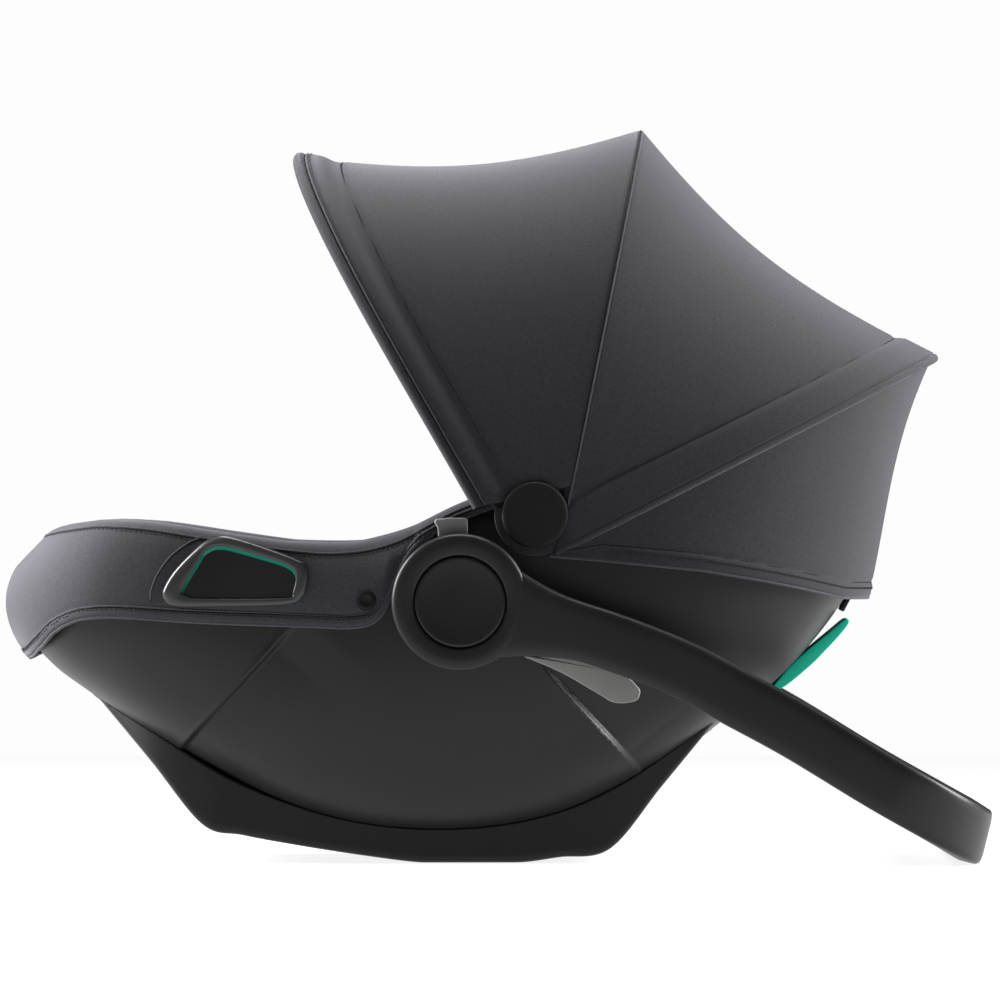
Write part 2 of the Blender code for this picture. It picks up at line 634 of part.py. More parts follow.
def handle_path():
    """Points, side directions, normals and sections of the handle, from hub to hub."""
    line = smooth_curve(HANDLE_LINE)
    steps = np.linalg.norm(np.diff(line, axis=0), axis=1)
    length = np.concatenate([[0.0], np.cumsum(steps)])
    total = length[-1]

    def side_view(s):
        return (float(np.interp(s, length, line[:, 0])), float(np.interp(s, length, line[:, 1])))

    half = []
    for s in np.linspace(0.040, total - HANDLE_CORNER, 10):
        half.append((s, HANDLE_Y, 0.0))
    for alpha in np.linspace(0.0, math.pi / 2, 7)[1:]:
        half.append((total - HANDLE_CORNER * (1 - math.sin(alpha)),
                     HANDLE_Y - HANDLE_CORNER_WIDTH * (1 - math.cos(alpha)),
                     HANDLE_TWIST * math.sin(alpha) ** 2))
    crossbar = HANDLE_Y - HANDLE_CORNER_WIDTH
    half.append((total, crossbar * 0.5, HANDLE_TWIST))
    both = [(s, -y, t) for s, y, t in half] + [(total, 0.0, HANDLE_TWIST)] + half[::-1]
    points = []
    sides = []
    sections = []
    for s, y, twist in both:
        s = float(s)
        x, z = side_view(s)
        ahead = np.subtract(side_view(s + 0.004), side_view(s - 0.004))
        angle = math.atan2(ahead[1], ahead[0]) + math.pi / 2 + twist
        points.append(Vector((x, y, z)))
        sides.append(Vector((math.cos(angle), 0.0, math.sin(angle))))
        widen = 0.022 * max(0.0, (0.100 - s) / 0.060) ** 2
        sections.append(rounded_section(HANDLE_WIDTH + widen, HANDLE_THICKNESS, 0.006))
    normals = []
    for i, point in enumerate(points):
        ahead = points[min(i + 1, len(points) - 1)] - points[max(i - 1, 0)]
        normals.append(sides[i].cross(ahead).normalized())
    return points, sides, normals, sections


def build_handle():
    points, sides, normals, sections = handle_path()
    bar = swept(points, sides, normals, sections)
    handle = add_part("handle_frame", bar, BLACK_PLASTIC, (HUB_X, 0.0, HUB_Z), roughness=0.6)
    inner = HANDLE_Y - HANDLE_THICKNESS / 2
    outer = HANDLE_Y + HANDLE_THICKNESS / 2
    ring = [(0.030, inner - 0.0001), (HUB_RADIUS - 0.002, inner - 0.0001),
            (HUB_RADIUS, inner + 0.002), (HUB_RADIUS, outer - 0.003),
            (HUB_RADIUS - 0.003, outer + 0.0001), (0.036, outer + 0.0001), (0.035, outer - 0.001),
            (0.035, 0.2110), (POST_RADIUS + 0.0004, 0.2110), (POST_RADIUS + 0.0004, 0.2066),
            (0.030, 0.2066)]
    left = turned(ring, HUB_X, HUB_Z, 32)
    right = mirrored(left)
    combine(handle, add_helper("hub_ring_left", left), "UNION")
    combine(handle, add_helper("hub_ring_right", right), "UNION")
    cap = turned([(0, 0.2165), (0.0345, 0.2165), (0.0345, 0.2196), (0.0335, 0.2204),
                  (0, 0.2204)], HUB_X, HUB_Z, 32)
    add_pair("hub_cap", cap, BLACK_PLASTIC, (HUB_X, 0.0, HUB_Z), roughness=0.5)


BUTTON_OUTLINE = [(-0.0505, 0.2512), (-0.0480, 0.2600), (-0.0455, 0.2655), (-0.0265, 0.2655),
                  (-0.0245, 0.2640), (-0.0245, 0.2512)]
LEVER_OUTLINE = [(0.0129, 0.1625), (0.0305, 0.1633), (0.0533, 0.1617), (0.0762, 0.1549),
                 (0.0952, 0.1457), (0.1058, 0.1358), (0.1066, 0.1320), (0.1043, 0.1267),
                 (0.0952, 0.1244), (0.0853, 0.1252), (0.0762, 0.1305), (0.0457, 0.1480),
                 (0.0168, 0.1602)]
LEVER_PIVOT = (0.0300, 0.1570)


def build_levers():
    button = plate(BUTTON_OUTLINE, 0.1856, 0.1968, 0.0012)
    add_pair("handle_button", button, GREY_PLASTIC, (-0.0375, -0.191, 0.2550))
    lever = plate(LEVER_OUTLINE, 0.1860, 0.1955, 0.0012)
    pair = add_pair("travel_lever", lever, GREY_PLASTIC, (LEVER_PIVOT[0], -0.190, LEVER_PIVOT[1]))
    stub = turned([(0, 0.1816), (0.004, 0.1816), (0.004, 0.1900), (0, 0.1900)], *LEVER_PIVOT, 16)
    other = mirrored(stub)
    combine(pair[0], add_helper("lever_stub_left", stub), "UNION")
    combine(pair[1], add_helper("lever_stub_right", other), "UNION")
    pawl = block((-0.0125, -0.1885, 0.1610), (0.0220, 0.0048, 0.0070))
    add_pair("adapter_pawl", pawl, STEEL, (-0.0125, -0.1885, 0.1610), roughness=0.3, metallic=1.0)


# ---------------------------------------------------------------- canopy

def hoop_points(start, end, half_width, count, exponent=CANOPY_EXPONENT, first=0.0):
    """Left half of an arch in a plane parallel to Y, from the angle called first to the top."""
    points = []
    for phi in np.linspace(first, math.pi / 2, count):
        rise = math.sin(phi) ** (2.0 / exponent)
        across = max(math.cos(phi), 0.0) ** (2.0 / exponent)
        points.append(Vector((start[0] + (end[0] - start[0]) * rise, -half_width * across,
                              start[1] + (end[1] - start[1]) * rise)))
    return points


def hub_plate_rings(foot, along, side, half_width):
    """Rings of the round plate on a hoop's foot: points and the two edges across the strip."""
    to_pivot = Vector((PIVOT_X - foot[0], 0.0, PIVOT_Z - foot[1]))
    ahead, across = to_pivot.dot(along), to_pivot.dot(side)
    rings = []
    for k in np.linspace(-0.97, 0.97, 9):
        reach = ahead + HUB_PLATE_RADIUS * float(k)
        half = HUB_PLATE_RADIUS * math.sqrt(1.0 - float(k) ** 2)
        low, high = across - half, across + half
        if reach > 0.0:
            low, high = min(low, -HOOP_WIDTH / 2), max(high, HOOP_WIDTH / 2)
        point = Vector((foot[0], -half_width, foot[1])) + along * reach
        rings.append((point, low, high))
    return rings


def build_hoop(name, foot, top, half_width, pivots, origin, first=0.0):
    """A flat plastic hoop from the arch angle first, with a round hub plate on a pivoting foot."""
    along = Vector((top[0] - foot[0], 0.0, top[1] - foot[1])).normalized()
    side = Vector((along.z, 0.0, -along.x))
    rings = hub_plate_rings(foot, along, side, half_width) if pivots else []
    start = (rings[-1][0] - Vector((foot[0], -half_width, foot[1]))).length if pivots else -1.0
    for point in hoop_points(foot, top, half_width, 12, first=first):
        if Vector((point.x - foot[0], 0.0, point.z - foot[1])).length > start + 0.004:
            rings.append((point, -HOOP_WIDTH / 2, HOOP_WIDTH / 2))
    rings += [(Vector((p.x, -p.y, p.z)), low, high) for p, low, high in rings[-2::-1]]
    points = [ring[0] for ring in rings]
    normals = []
    for i in range(len(points)):
        ahead = points[min(i + 1, len(points) - 1)] - points[max(i - 1, 0)]
        normals.append(side.cross(ahead).normalized())
    h = HOOP_THICKNESS / 2
    sections = [[(high, -h), (high, h), (low, h), (low, -h)] for _, low, high in rings]
    hoop = add_part(name, swept(points, [side] * len(points), normals, sections), BLACK_PLASTIC,
                    origin)
    if pivots:
        bore = rod((PIVOT_X, -0.200, PIVOT_Z), (PIVOT_X, 0.200, PIVOT_Z), 0.0045, 16)
        combine(hoop, add_helper(f"{name}_bore", bore), "DIFFERENCE")
    return hoop


def panel_grid(first, second, sag, columns, span=(0.003, 0.997)):
    """Fabric between two arches: straight across, drawn in by sag between them."""
    grid = []
    for f in np.linspace(span[0], span[1], columns):
        column = []
        for a, b in zip(first, second):
            point = a.lerp(b, f)
            reach = Vector((point.x - PIVOT_X, 0.0, point.z - PIVOT_Z))
            amount = sag * 4 * f * (1 - f) * max(0.0, 1 - abs(point.y) / PANEL_Y) ** 0.8
            column.append(point - reach.normalized() * amount)
        grid.append(column)
    return grid


def build_canopy():
    pivot = (PIVOT_X, 0.0, PIVOT_Z)
    count = 12
    middle = hoop_points(*MIDDLE_SEAM, PANEL_Y, count)
    over_pin = [hoop_points(*line, PANEL_Y, count, first=FRONT_PANEL_START)
                for line in (FRONT_EDGE, MIDDLE_SEAM)]
    rear = hoop_points(*REAR_SEAM, PANEL_Y, count)
    hem = []
    for p in hoop_points((0.038, 0.0), (0.2860, 0.0), PANEL_Y, count, 2.7):
        z = float(np.interp(p.x, [h[0] for h in SKIRT_HEM], [h[1] for h in SKIRT_HEM]))
        hem.append(Vector((p.x, p.y, z)))
    build_hoop("hoop_front", (0.0030, 0.2675), (-0.1347, 0.5356), 0.1845, True, pivot)
    build_hoop("hoop_middle", (0.0487, 0.2593), (0.1085, 0.5592), 0.1875, True, pivot)
    build_hoop("hoop_rear", (0.0480, 0.2444), (0.3275, 0.3862), 0.1865, False, (0.0, 0.0, 0.0),
               REAR_HOOP_START)
    panels = (("canopy_panel_front", *over_pin, 0.018, 6, pivot),
              ("canopy_panel_middle", middle, rear, 0.020, 6, pivot),
              ("canopy_panel_rear", rear, hem, 0.003, 5, (0.0, 0.0, 0.0)))
    for name, first, second, sag, columns, origin in panels:
        grid = panel_grid(first, second, sag, columns)
        panel = add_part(name, grid_mesh(grid), DARK_FABRIC, origin, roughness=0.9)
        thicken(panel, PANEL_THICKNESS)
    inner = 0.1922
    cap = turned([(0, 0.1818), (0.0040, 0.1818), (0.0040, inner), (0.0251, inner),
                  (0.0251, 0.1944), (0.0236, 0.1962), (0, 0.1962)], PIVOT_X, PIVOT_Z, 24)
    add_pair("canopy_cap", cap, BLACK_PLASTIC, roughness=0.6)


# ---------------------------------------------------------------- pad, headrest and harness

def bowl_patch(keel_from, keel_to, stations, rows, spread, offset):
    """Grid on the bowl's surface between two keel positions, lifted off it by offset."""
    dense = smooth_curve(BOWL_STATIONS)
    keep = dense[(dense[:, 0] > keel_from) & (dense[:, 0] < keel_to)]
    places = even_points(keep, stations)
    grid = []
    for station in places:
        share = (np.argmin(np.abs(dense[:, 0] - station[0]))) / (len(dense) - 1)
        exponent = 2.3 + BOWL_SQUARENESS * math.sin(math.pi * share) ** 0.7
        row = []
        for phi in np.linspace(0.0, spread, rows):
            point = section_point(station, phi, exponent)
            _, normal, _, _ = BOWL_TREE.find_nearest(point)
            if normal.dot(FOCUS - point) < 0:
                normal = -normal
            lifted = point + normal * offset
            if phi == 0.0:
                lifted.y = 0.0
            row.append(lifted)
        grid.append(row)
    return grid


def build_seat_pad():
    grid = bowl_patch(-0.148, 0.098, 12, 7, 0.92, 0.0135)
    pad = add_part("seat_pad", grid_mesh(grid), DARK_FABRIC, roughness=0.9)
    thicken(pad, 0.015)


def wing_grid(offset, length, base, count):
    """U-shaped sheet of the headrest: across the back, then out along both wings."""
    rows = []
    for f in np.linspace(0.0, 1.0, count):
        along = base + length * f
        half = (0.086 - 0.012 * f) - offset
        low = 0.016 + offset
        high = 0.074 - 0.014 * abs(2 * f - 1) ** 2 - offset * 0.3
        corner = 0.014
        profile = [(0.0, low), (half * 0.6, low), (half - corner, low + 0.001),
                   (half - corner * 0.3, low + corner * 0.3), (half, low + corner),
                   (half + 0.004, (low + high) / 2), (half + 0.008, high)]
        rows.append([back_point(along, -across, out) for across, out in profile])
    return rows


HEADREST_BASE = 0.006
HEADREST_LENGTH = 0.110


def build_headrest():
    shell = add_part("headrest_shell", grid_mesh(wing_grid(0.0, HEADREST_LENGTH, HEADREST_BASE, 6)),
                     BLACK_PLASTIC, back_point(0, 0, 0))
    thicken(shell, 0.0025)
    pad = add_part("headrest_pad",
                   grid_mesh(wing_grid(0.0087, HEADREST_LENGTH - 0.004, HEADREST_BASE + 0.002, 6)),
                   DARK_FABRIC, back_point(0, 0, 0), roughness=0.9)
    thicken(pad, 0.012)
    place = back_point(HEADREST_BASE + HEADREST_LENGTH + 0.0062, 0.0, 0.020)
    lever = block(place, (0.0110, 0.046, 0.009), BACK_ANGLE, 0.0015)
    add_part("headrest_release", lever, GREY_PLASTIC, place)


BUCKLE_AT = Vector((-0.066, 0.0, 0.1135))
BUCKLE_ANGLE = math.radians(10.0)
BUCKLE_SIZE = (0.056, 0.050, 0.019)


def buckle_point(along, across, out):
    ahead = Vector((math.cos(BUCKLE_ANGLE), 0.0, math.sin(BUCKLE_ANGLE)))
    up = Vector((-math.sin(BUCKLE_ANGLE), 0.0, math.cos(BUCKLE_ANGLE)))
    return BUCKLE_AT + ahead * along + up * out + Vector((0.0, across, 0.0))


def build_buckle():
    body = add_part("buckle_body", block(BUCKLE_AT, BUCKLE_SIZE, BUCKLE_ANGLE, 0.004),
                    BLACK_PLASTIC)
    well = block(buckle_point(-0.007, 0, 0.008), (0.0226, 0.0306, 0.012), BUCKLE_ANGLE)
    combine(body, add_helper("button_well", well), "DIFFERENCE")
    for side in (-1, 1):
        slot = block(buckle_point(0.026, side * 0.0115, 0.0), (0.020, 0.0166, 0.0036), BUCKLE_ANGLE)
        combine(body, add_helper(f"tongue_slot_{side}", slot), "DIFFERENCE")
    place = buckle_point(-0.007, 0, 0.0080)
    button = block(place, (0.0218, 0.0298, 0.0044), BUCKLE_ANGLE, 0.0008)
    add_part("buckle_button", button, RED_PLASTIC, place, roughness=0.4)
    tongue = block(buckle_point(0.0330, -0.0115, 0.0), (0.0290, 0.0158, 0.0028), BUCKLE_ANGLE)
    add_pair("buckle_tongue", tongue, STEEL, roughness=0.3, metallic=1.0)


SHOULDER_ROUTE = [(-0.0168, -0.0135, 0.1222), (0.0030, -0.0180, 0.1262), (0.0300, -0.0260, 0.1345),
                  (0.0580, -0.0350, 0.1490), (0.0830, -0.0400, 0.1665), (0.1050, -0.0420, 0.1840),
                  (0.1250, -0.0420, 0.1990)]


def build_harness():
    up = BACK_OUT
    add_pair("shoulder_strap", strap(SHOULDER_ROUTE, 0.025, 0.0016, 12, up), WEBBING,
             roughness=0.8)
    route = even_points(smooth_curve(SHOULDER_ROUTE, 200), 200)
    points = [Vector(p) for p in even_points(route[58:128], 6)]
    sides, normals = path_frames(points, up)
    outer = [flat_section(0.042, 0.012)] * len(points)
    pad = swept(points, sides, normals, outer)
    pair = add_pair("shoulder_pad", pad, DARK_FABRIC, roughness=0.9)
    longer = [Vector(p) for p in even_points(route[50:136], 8)]
    sides, normals = path_frames(longer, up)
    tunnel = swept(longer, sides, normals, [flat_section(0.0266, 0.0032)] * len(longer))
    other = mirrored(tunnel)
    combine(pair[0], add_helper("strap_tunnel_left", tunnel), "DIFFERENCE")
    combine(pair[1], add_helper("strap_tunnel_right", other), "DIFFERENCE")
    lap = strap([(-0.0310, -0.0300, 0.1205), (-0.0240, -0.0500, 0.1210), (-0.0150, -0.0800, 0.1220),
                 (-0.0080, -0.0980, 0.1250), (-0.0060, -0.1110, 0.1290)], 0.025, 0.0016, 8)
    add_pair("lap_strap", lap, WEBBING, roughness=0.8)
    crotch = strap([(-0.1180, 0.0, 0.1050), (-0.1120, 0.0, 0.1075), (-0.1030, 0.0, 0.1070),
                    (-0.0945, 0.0, 0.1083)], 0.038, 0.0020, 5)
    add_part("crotch_strap", crotch, WEBBING, roughness=0.8)
    pad = block((-0.0625, 0.0, 0.0985), (0.056, 0.056, 0.006), math.radians(6.0), 0.002)
    add_part("crotch_pad", pad, DARK_FABRIC, roughness=0.9)


ADJUSTER_AT = Vector((-0.1930, 0.0, 0.1345))
ADJUSTER_ANGLE = math.radians(-30.5)


def adjuster_point(along, across, out):
    ahead = Vector((math.cos(ADJUSTER_ANGLE), 0.0, math.sin(ADJUSTER_ANGLE)))
    up = Vector((-math.sin(ADJUSTER_ANGLE), 0.0, math.cos(ADJUSTER_ANGLE)))
    return ADJUSTER_AT + ahead * along + up * out + Vector((0.0, across, 0.0))


def build_adjuster():
    housing = add_part("adjuster_housing", block(ADJUSTER_AT, (0.040, 0.050, 0.012), ADJUSTER_ANGLE,
                                                 0.003), BLACK_PLASTIC)
    well = block(adjuster_point(0.004, 0, 0.005), (0.0206, 0.0246, 0.008), ADJUSTER_ANGLE)
    combine(housing, add_helper("adjuster_well", well), "DIFFERENCE")
    place = adjuster_point(0.004, 0, 0.0064)
    button = block(place, (0.0196, 0.0236, 0.0036), ADJUSTER_ANGLE, 0.0008)
    add_part("adjuster_button", button, GREY_PLASTIC, place)
    pull = strap([(-0.2135, 0.0, 0.1462), (-0.2350, 0.0, 0.1580), (-0.2600, 0.0, 0.1760),
                  (-0.2850, 0.0, 0.1960)], 0.025, 0.0016, 6)
    add_part("pull_strap", pull, WEBBING, roughness=0.8)
    hidden = strap([(0.1120, 0.0, 0.1000), (0.0600, 0.0, 0.0680), (0.0000, 0.0, 0.0420),
                    (-0.0600, 0.0, 0.0360), (-0.1200, 0.0, 0.0480), (-0.1700, 0.0, 0.0720),
                    (-0.1950, 0.0, 0.0890)], 0.025, 0.0016, 12)
    add_part("adjuster_strap", hidden, WEBBING, roughness=0.8)
    yoke = block((0.1290, 0.0, 0.1110), (0.030, 0.062, 0.0025), BACK_ANGLE)
    add_part("harness_yoke", yoke, STEEL, roughness=0.3, metallic=1.0)


def place_on_ground():
    """Hang every piece on one empty that stands under the middle of the whole seat."""
    frame = bpy.data.objects.new("seat_frame", None)
    bpy.context.collection.objects.link(frame)
    frame.location.x = CENTER_SHIFT
    for obj in bpy.data.objects:
        if obj is not frame:
            obj.parent = frame


def main():
    clear_scene()
    build_tub()
    build_cover()
    build_base()
    build_tub_fittings()
    build_sockets()
    build_hub_internals()
    build_handle()
    build_levers()
    build_canopy()
    build_seat_pad()
    build_headrest()
    build_buckle()
    build_harness()
    build_adjuster()
    place_on_ground()


if __name__ == "__main__":
    main()
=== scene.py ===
"""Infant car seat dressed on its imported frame: shell, rocker base, cover, canopy, handle and harness.

Metres, +Z up, +X from the foot end to the head end, and Y across. The child's left is -Y. Sizes are
kept in the seat's own frame, and every mesh is moved along X by SEAT_SHIFT as it is finished.
"""
import logging
import math
from dataclasses import dataclass, field
from enum import Enum
from typing import Callable, Iterable, Optional, Sequence

import bmesh
import bpy
import numpy as np
from mathutils import Matrix, Vector
from mathutils.bvhtree import BVHTree
from mathutils.kdtree import KDTree


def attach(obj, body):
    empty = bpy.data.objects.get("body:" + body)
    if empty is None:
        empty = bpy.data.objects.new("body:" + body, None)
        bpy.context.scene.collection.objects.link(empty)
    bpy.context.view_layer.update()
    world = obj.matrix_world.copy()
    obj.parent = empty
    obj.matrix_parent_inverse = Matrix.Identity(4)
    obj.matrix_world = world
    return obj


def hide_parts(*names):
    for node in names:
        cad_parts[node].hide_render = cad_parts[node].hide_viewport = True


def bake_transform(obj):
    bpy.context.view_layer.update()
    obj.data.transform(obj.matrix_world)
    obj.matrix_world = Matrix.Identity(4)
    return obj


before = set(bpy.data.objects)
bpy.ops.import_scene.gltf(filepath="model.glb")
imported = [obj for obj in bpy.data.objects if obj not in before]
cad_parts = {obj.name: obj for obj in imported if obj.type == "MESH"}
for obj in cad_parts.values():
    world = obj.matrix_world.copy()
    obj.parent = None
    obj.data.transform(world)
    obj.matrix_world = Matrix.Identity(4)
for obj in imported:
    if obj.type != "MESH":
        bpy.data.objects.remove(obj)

BMesh = bmesh.types.BMesh
Mesh = bpy.types.Mesh
Object = bpy.types.Object
Material = bpy.types.Material
log = logging.getLogger("infant_seat")

SEAT_SHIFT = Vector((0.0029, 0.0, 0.0))  # from the seat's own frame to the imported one
MM = 0.001
STUFFING_FRAMES = 20  # frames that a pad's cloth swells for
SECTION_SAMPLES = 120  # places sampled along the headrest's section
LINE_SAMPLES = 400  # places sampled along the base's line
Table = Sequence[tuple[float, ...]]
Placer = Callable[[float, float], Vector]


class Side(Enum):
    """The child's two sides, with the sign of Y."""

    LEFT = -1
    RIGHT = 1

    @property
    def word(self) -> str:
        """The side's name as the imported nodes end."""
        return self.name.lower()


class Weave(Enum):
    """How a cloth is made."""

    JERSEY = "jersey"
    WEBBING = "webbing"


# ---------- finishes

def linear(hex_colour: str) -> tuple[float, float, float, float]:
    """Turn an sRGB hex colour to linear RGBA.

    Args:
        hex_colour: Colour such as "3a393d".

    Returns:
        Linear red, green, blue and an alpha of 1.
    """
    channels = [int(hex_colour[i:i + 2], 16) / 255 for i in (0, 2, 4)]
    r, g, b = (c / 12.92 if c <= 0.04045 else ((c + 0.055) / 1.055) ** 2.4 for c in channels)
    return r, g, b, 1.0


def add_node(tree: bpy.types.NodeTree, kind: str, inputs: Optional[dict] = None,
             **settings: object) -> bpy.types.Node:
    """Add a shader node with its settings, values and links.

    Args:
        tree: The material's node tree.
        kind: The node's Blender type, without the ShaderNode that each begins with.
        inputs: Socket name or index to a value, or to an output socket to link from.
        **settings: The node's own properties.

    Returns:
        The new node.
    """
    node = tree.nodes.new("ShaderNode" + kind)
    for key, value in settings.items():
        setattr(node, key, value)
    for key, value in (inputs or {}).items():
        if isinstance(value, bpy.types.NodeSocket):
            tree.links.new(value, node.inputs[key])
        else:
            node.inputs[key].default_value = value
    return node


def blank_material(name: str) -> tuple[Material, bpy.types.NodeTree, bpy.types.Node]:
    """Make a material that holds only its shader.

    Args:
        name: The material's name.

    Returns:
        The material, its node tree and its Principled shader.
    """
    material = bpy.data.materials.new(name)
    material.use_nodes = True
    return material, material.node_tree, material.node_tree.nodes["Principled BSDF"]


@dataclass(frozen=True)
class MouldedPlastic:
    """Polypropylene or ABS from a spark-eroded mould: a fine even grain that breaks up its gloss."""

    name: str
    colour: str
    roughness: float = 0.45
    grain: float = 0.9 * MM  # coarser than the mould's 0.2 mm, so that it shows
    grain_depth: float = 0.035 * MM
    ior: float = 1.49
    specular: float = 0.28  # eroded moulds leave less mirror gloss than a polished face
    mottle: float = 14.0  # a metre: slow changes of tone and gloss 70 mm across

    def build(self) -> Material:
        """Make the material.

        Returns:
            The material.
        """
        material, tree, shader = blank_material(self.name)
        place = add_node(tree, "TexCoord").outputs["Object"]
        grain = add_node(tree, "TexNoise", {"Vector": place, "Scale": 1 / self.grain,
                                            "Detail": 2.0, "Roughness": 0.6})
        flow = add_node(tree, "TexNoise", {"Vector": place, "Scale": self.mottle, "Detail": 3.0})
        tint = add_node(tree, "MapRange", {"Value": flow.outputs["Fac"], "From Min": 0.3,
                                           "From Max": 0.7, "To Min": 0.86, "To Max": 1.1})
        shade = add_node(tree, "Mix", {"Factor": 1.0, "A": linear(self.colour)},
                         data_type="RGBA", blend_type="MULTIPLY")
        tree.links.new(tint.outputs["Result"], shade.inputs["B"])
        gloss = add_node(tree, "MapRange",
                         {"Value": flow.outputs["Fac"], "From Min": 0.3, "From Max": 0.7,
                          "To Min": self.roughness - 0.035, "To Max": self.roughness + 0.035})
        bump = add_node(tree, "Bump", {"Strength": 0.6, "Distance": self.grain_depth,
                                       "Height": grain.outputs["Fac"]})
        tree.links.new(shade.outputs["Result"], shader.inputs["Base Color"])
        tree.links.new(gloss.outputs["Result"], shader.inputs["Roughness"])
        tree.links.new(bump.outputs["Normal"], shader.inputs["Normal"])
        shader.inputs["IOR"].default_value = self.ior
        shader.inputs["Specular IOR Level"].default_value = self.specular
        return material


@dataclass(frozen=True)
class Cloth:
    """Melange polyester jersey or woven webbing: two yarn tones, a thread relief and a soft fuzz."""

    name: str
    colour: str
    second_colour: str
    thread: float = 1.5 * MM  # jersey has about 1.1 mm between wales, drawn coarser so it shows
    relief: float = 0.10 * MM
    roughness: float = 0.86
    sheen: float = 0.35
    weave: Weave = Weave.JERSEY
    flecks: float = 620.0  # flecks of the melange a metre: 1.6 mm across, coarser than real yarn
    clouds: float = 9.0  # a metre: slow changes of tone 110 mm across, as cloth has when worn

    def build(self) -> Material:
        """Make the material.

        Returns:
            The material.
        """
        material, tree, shader = blank_material(self.name)
        coords = add_node(tree, "TexCoord")
        tone = add_node(tree, "TexNoise",
                        {"Vector": coords.outputs["Object"], "Scale": self.flecks, "Detail": 3.0,
                         "Roughness": 0.75})
        cloud = add_node(tree, "TexNoise",
                         {"Vector": coords.outputs["Object"], "Scale": self.clouds, "Detail": 2.0})
        mixed = add_node(tree, "MapRange",
                         {"Value": tone.outputs["Fac"], "From Min": 0.36, "From Max": 0.64})
        yarn = add_node(tree, "Mix",
                        {"Factor": mixed.outputs["Result"], "A": linear(self.colour),
                         "B": linear(self.second_colour)}, data_type="RGBA")
        drift = add_node(tree, "MapRange",
                         {"Value": cloud.outputs["Fac"], "From Min": 0.3, "From Max": 0.7,
                          "To Min": 0.93, "To Max": 1.06})
        shade = add_node(tree, "Mix", {"Factor": 1.0, "A": yarn.outputs["Result"]},
                         data_type="RGBA", blend_type="MULTIPLY")
        tree.links.new(drift.outputs["Result"], shade.inputs["B"])
        pitch = 2 * math.pi / 20 / self.thread
        across = add_node(tree, "TexWave",
                          {"Vector": coords.outputs["UV"], "Scale": pitch, "Distortion": 0.0},
                          wave_type="BANDS", bands_direction="X")
        along = add_node(tree, "TexWave",
                         {"Vector": coords.outputs["UV"], "Scale": pitch * 1.3, "Distortion": 0.0},
                         wave_type="BANDS",
                         bands_direction="Y" if self.weave is Weave.JERSEY else "DIAGONAL")
        loops = add_node(tree, "Math", {0: across.outputs["Fac"], 1: along.outputs["Fac"]},
                         operation="MULTIPLY" if self.weave is Weave.JERSEY else "MAXIMUM")
        fuzz = add_node(tree, "Math", {0: loops.outputs[0], 1: tone.outputs["Fac"]},
                        operation="ADD")
        bump = add_node(tree, "Bump", {"Strength": 0.7, "Distance": self.relief,
                                       "Height": fuzz.outputs[0]})
        tree.links.new(shade.outputs["Result"], shader.inputs["Base Color"])
        tree.links.new(bump.outputs["Normal"], shader.inputs["Normal"])
        shader.inputs["Roughness"].default_value = self.roughness
        shader.inputs["Specular IOR Level"].default_value = 0.25
        shader.inputs["Sheen Weight"].default_value = self.sheen
        shader.inputs["Sheen Roughness"].default_value = 0.45
        shader.inputs["Sheen Tint"].default_value = linear("b9b7c0")
        return material


@dataclass(frozen=True)
class RolledSteel:
    """Zinc-plated mild steel, rolled and tumbled: short streaks and a broken shine."""

    name: str
    colour: str = "b9babd"
    roughness: float = 0.32

    def build(self) -> Material:
        """Make the material.

        Returns:
            The material.
        """
        material, tree, shader = blank_material(self.name)
        place = add_node(tree, "TexCoord").outputs["Object"]
        # Tumbling leaves streaks about 17 mm long and 1.1 mm wide, drawn wide enough to show.
        streaks = add_node(tree, "Mapping", {"Vector": place, "Scale": (60.0, 900.0, 900.0)})
        noise = add_node(tree, "TexNoise",
                         {"Vector": streaks.outputs["Vector"], "Scale": 1.0, "Detail": 2.0})
        gloss = add_node(tree, "MapRange",
                         {"Value": noise.outputs["Fac"], "To Min": self.roughness - 0.06,
                          "To Max": self.roughness + 0.10})
        bump = add_node(tree, "Bump", {"Strength": 0.3, "Distance": 0.01 * MM,
                                       "Height": noise.outputs["Fac"]})
        tree.links.new(gloss.outputs["Result"], shader.inputs["Roughness"])
        tree.links.new(bump.outputs["Normal"], shader.inputs["Normal"])
        shader.inputs["Base Color"].default_value = linear(self.colour)
        shader.inputs["Metallic"].default_value = 1.0
        return material


@dataclass(frozen=True)
class BeadFoam:
    """Expanded polypropylene foam: fused beads about 3 mm across, matt and slightly dimpled."""

    name: str
    colour: str = "2c2c2e"

    def build(self) -> Material:
        """Make the material.

        Returns:
            The material.
        """
        material, tree, shader = blank_material(self.name)
        place = add_node(tree, "TexCoord").outputs["Object"]
        beads = add_node(tree, "TexVoronoi", {"Vector": place, "Scale": 1 / (3 * MM)})
        bump = add_node(tree, "Bump", {"Strength": 0.6, "Distance": 0.3 * MM,
                                       "Height": beads.outputs["Distance"]},
                        invert=True)
        tree.links.new(bump.outputs["Normal"], shader.inputs["Normal"])
        shader.inputs["Base Color"].default_value = linear(self.colour)
        shader.inputs["Roughness"].default_value = 0.9
        return material


@dataclass(frozen=True)
class StudioFloor:
    """White painted studio floor, lit from within so that it stays as pale as what is behind it."""

    name: str
    colour: str = "6e6e6d"

    def build(self) -> Material:
        """Make the material.

        Returns:
            The material.
        """
        material, _, shader = blank_material(self.name)
        shader.inputs["Base Color"].default_value = linear(self.colour)
        shader.inputs["Roughness"].default_value = 0.8
        shader.inputs["Emission Color"].default_value = linear("ffffff")
        shader.inputs["Emission Strength"].default_value = 0.86
        return material


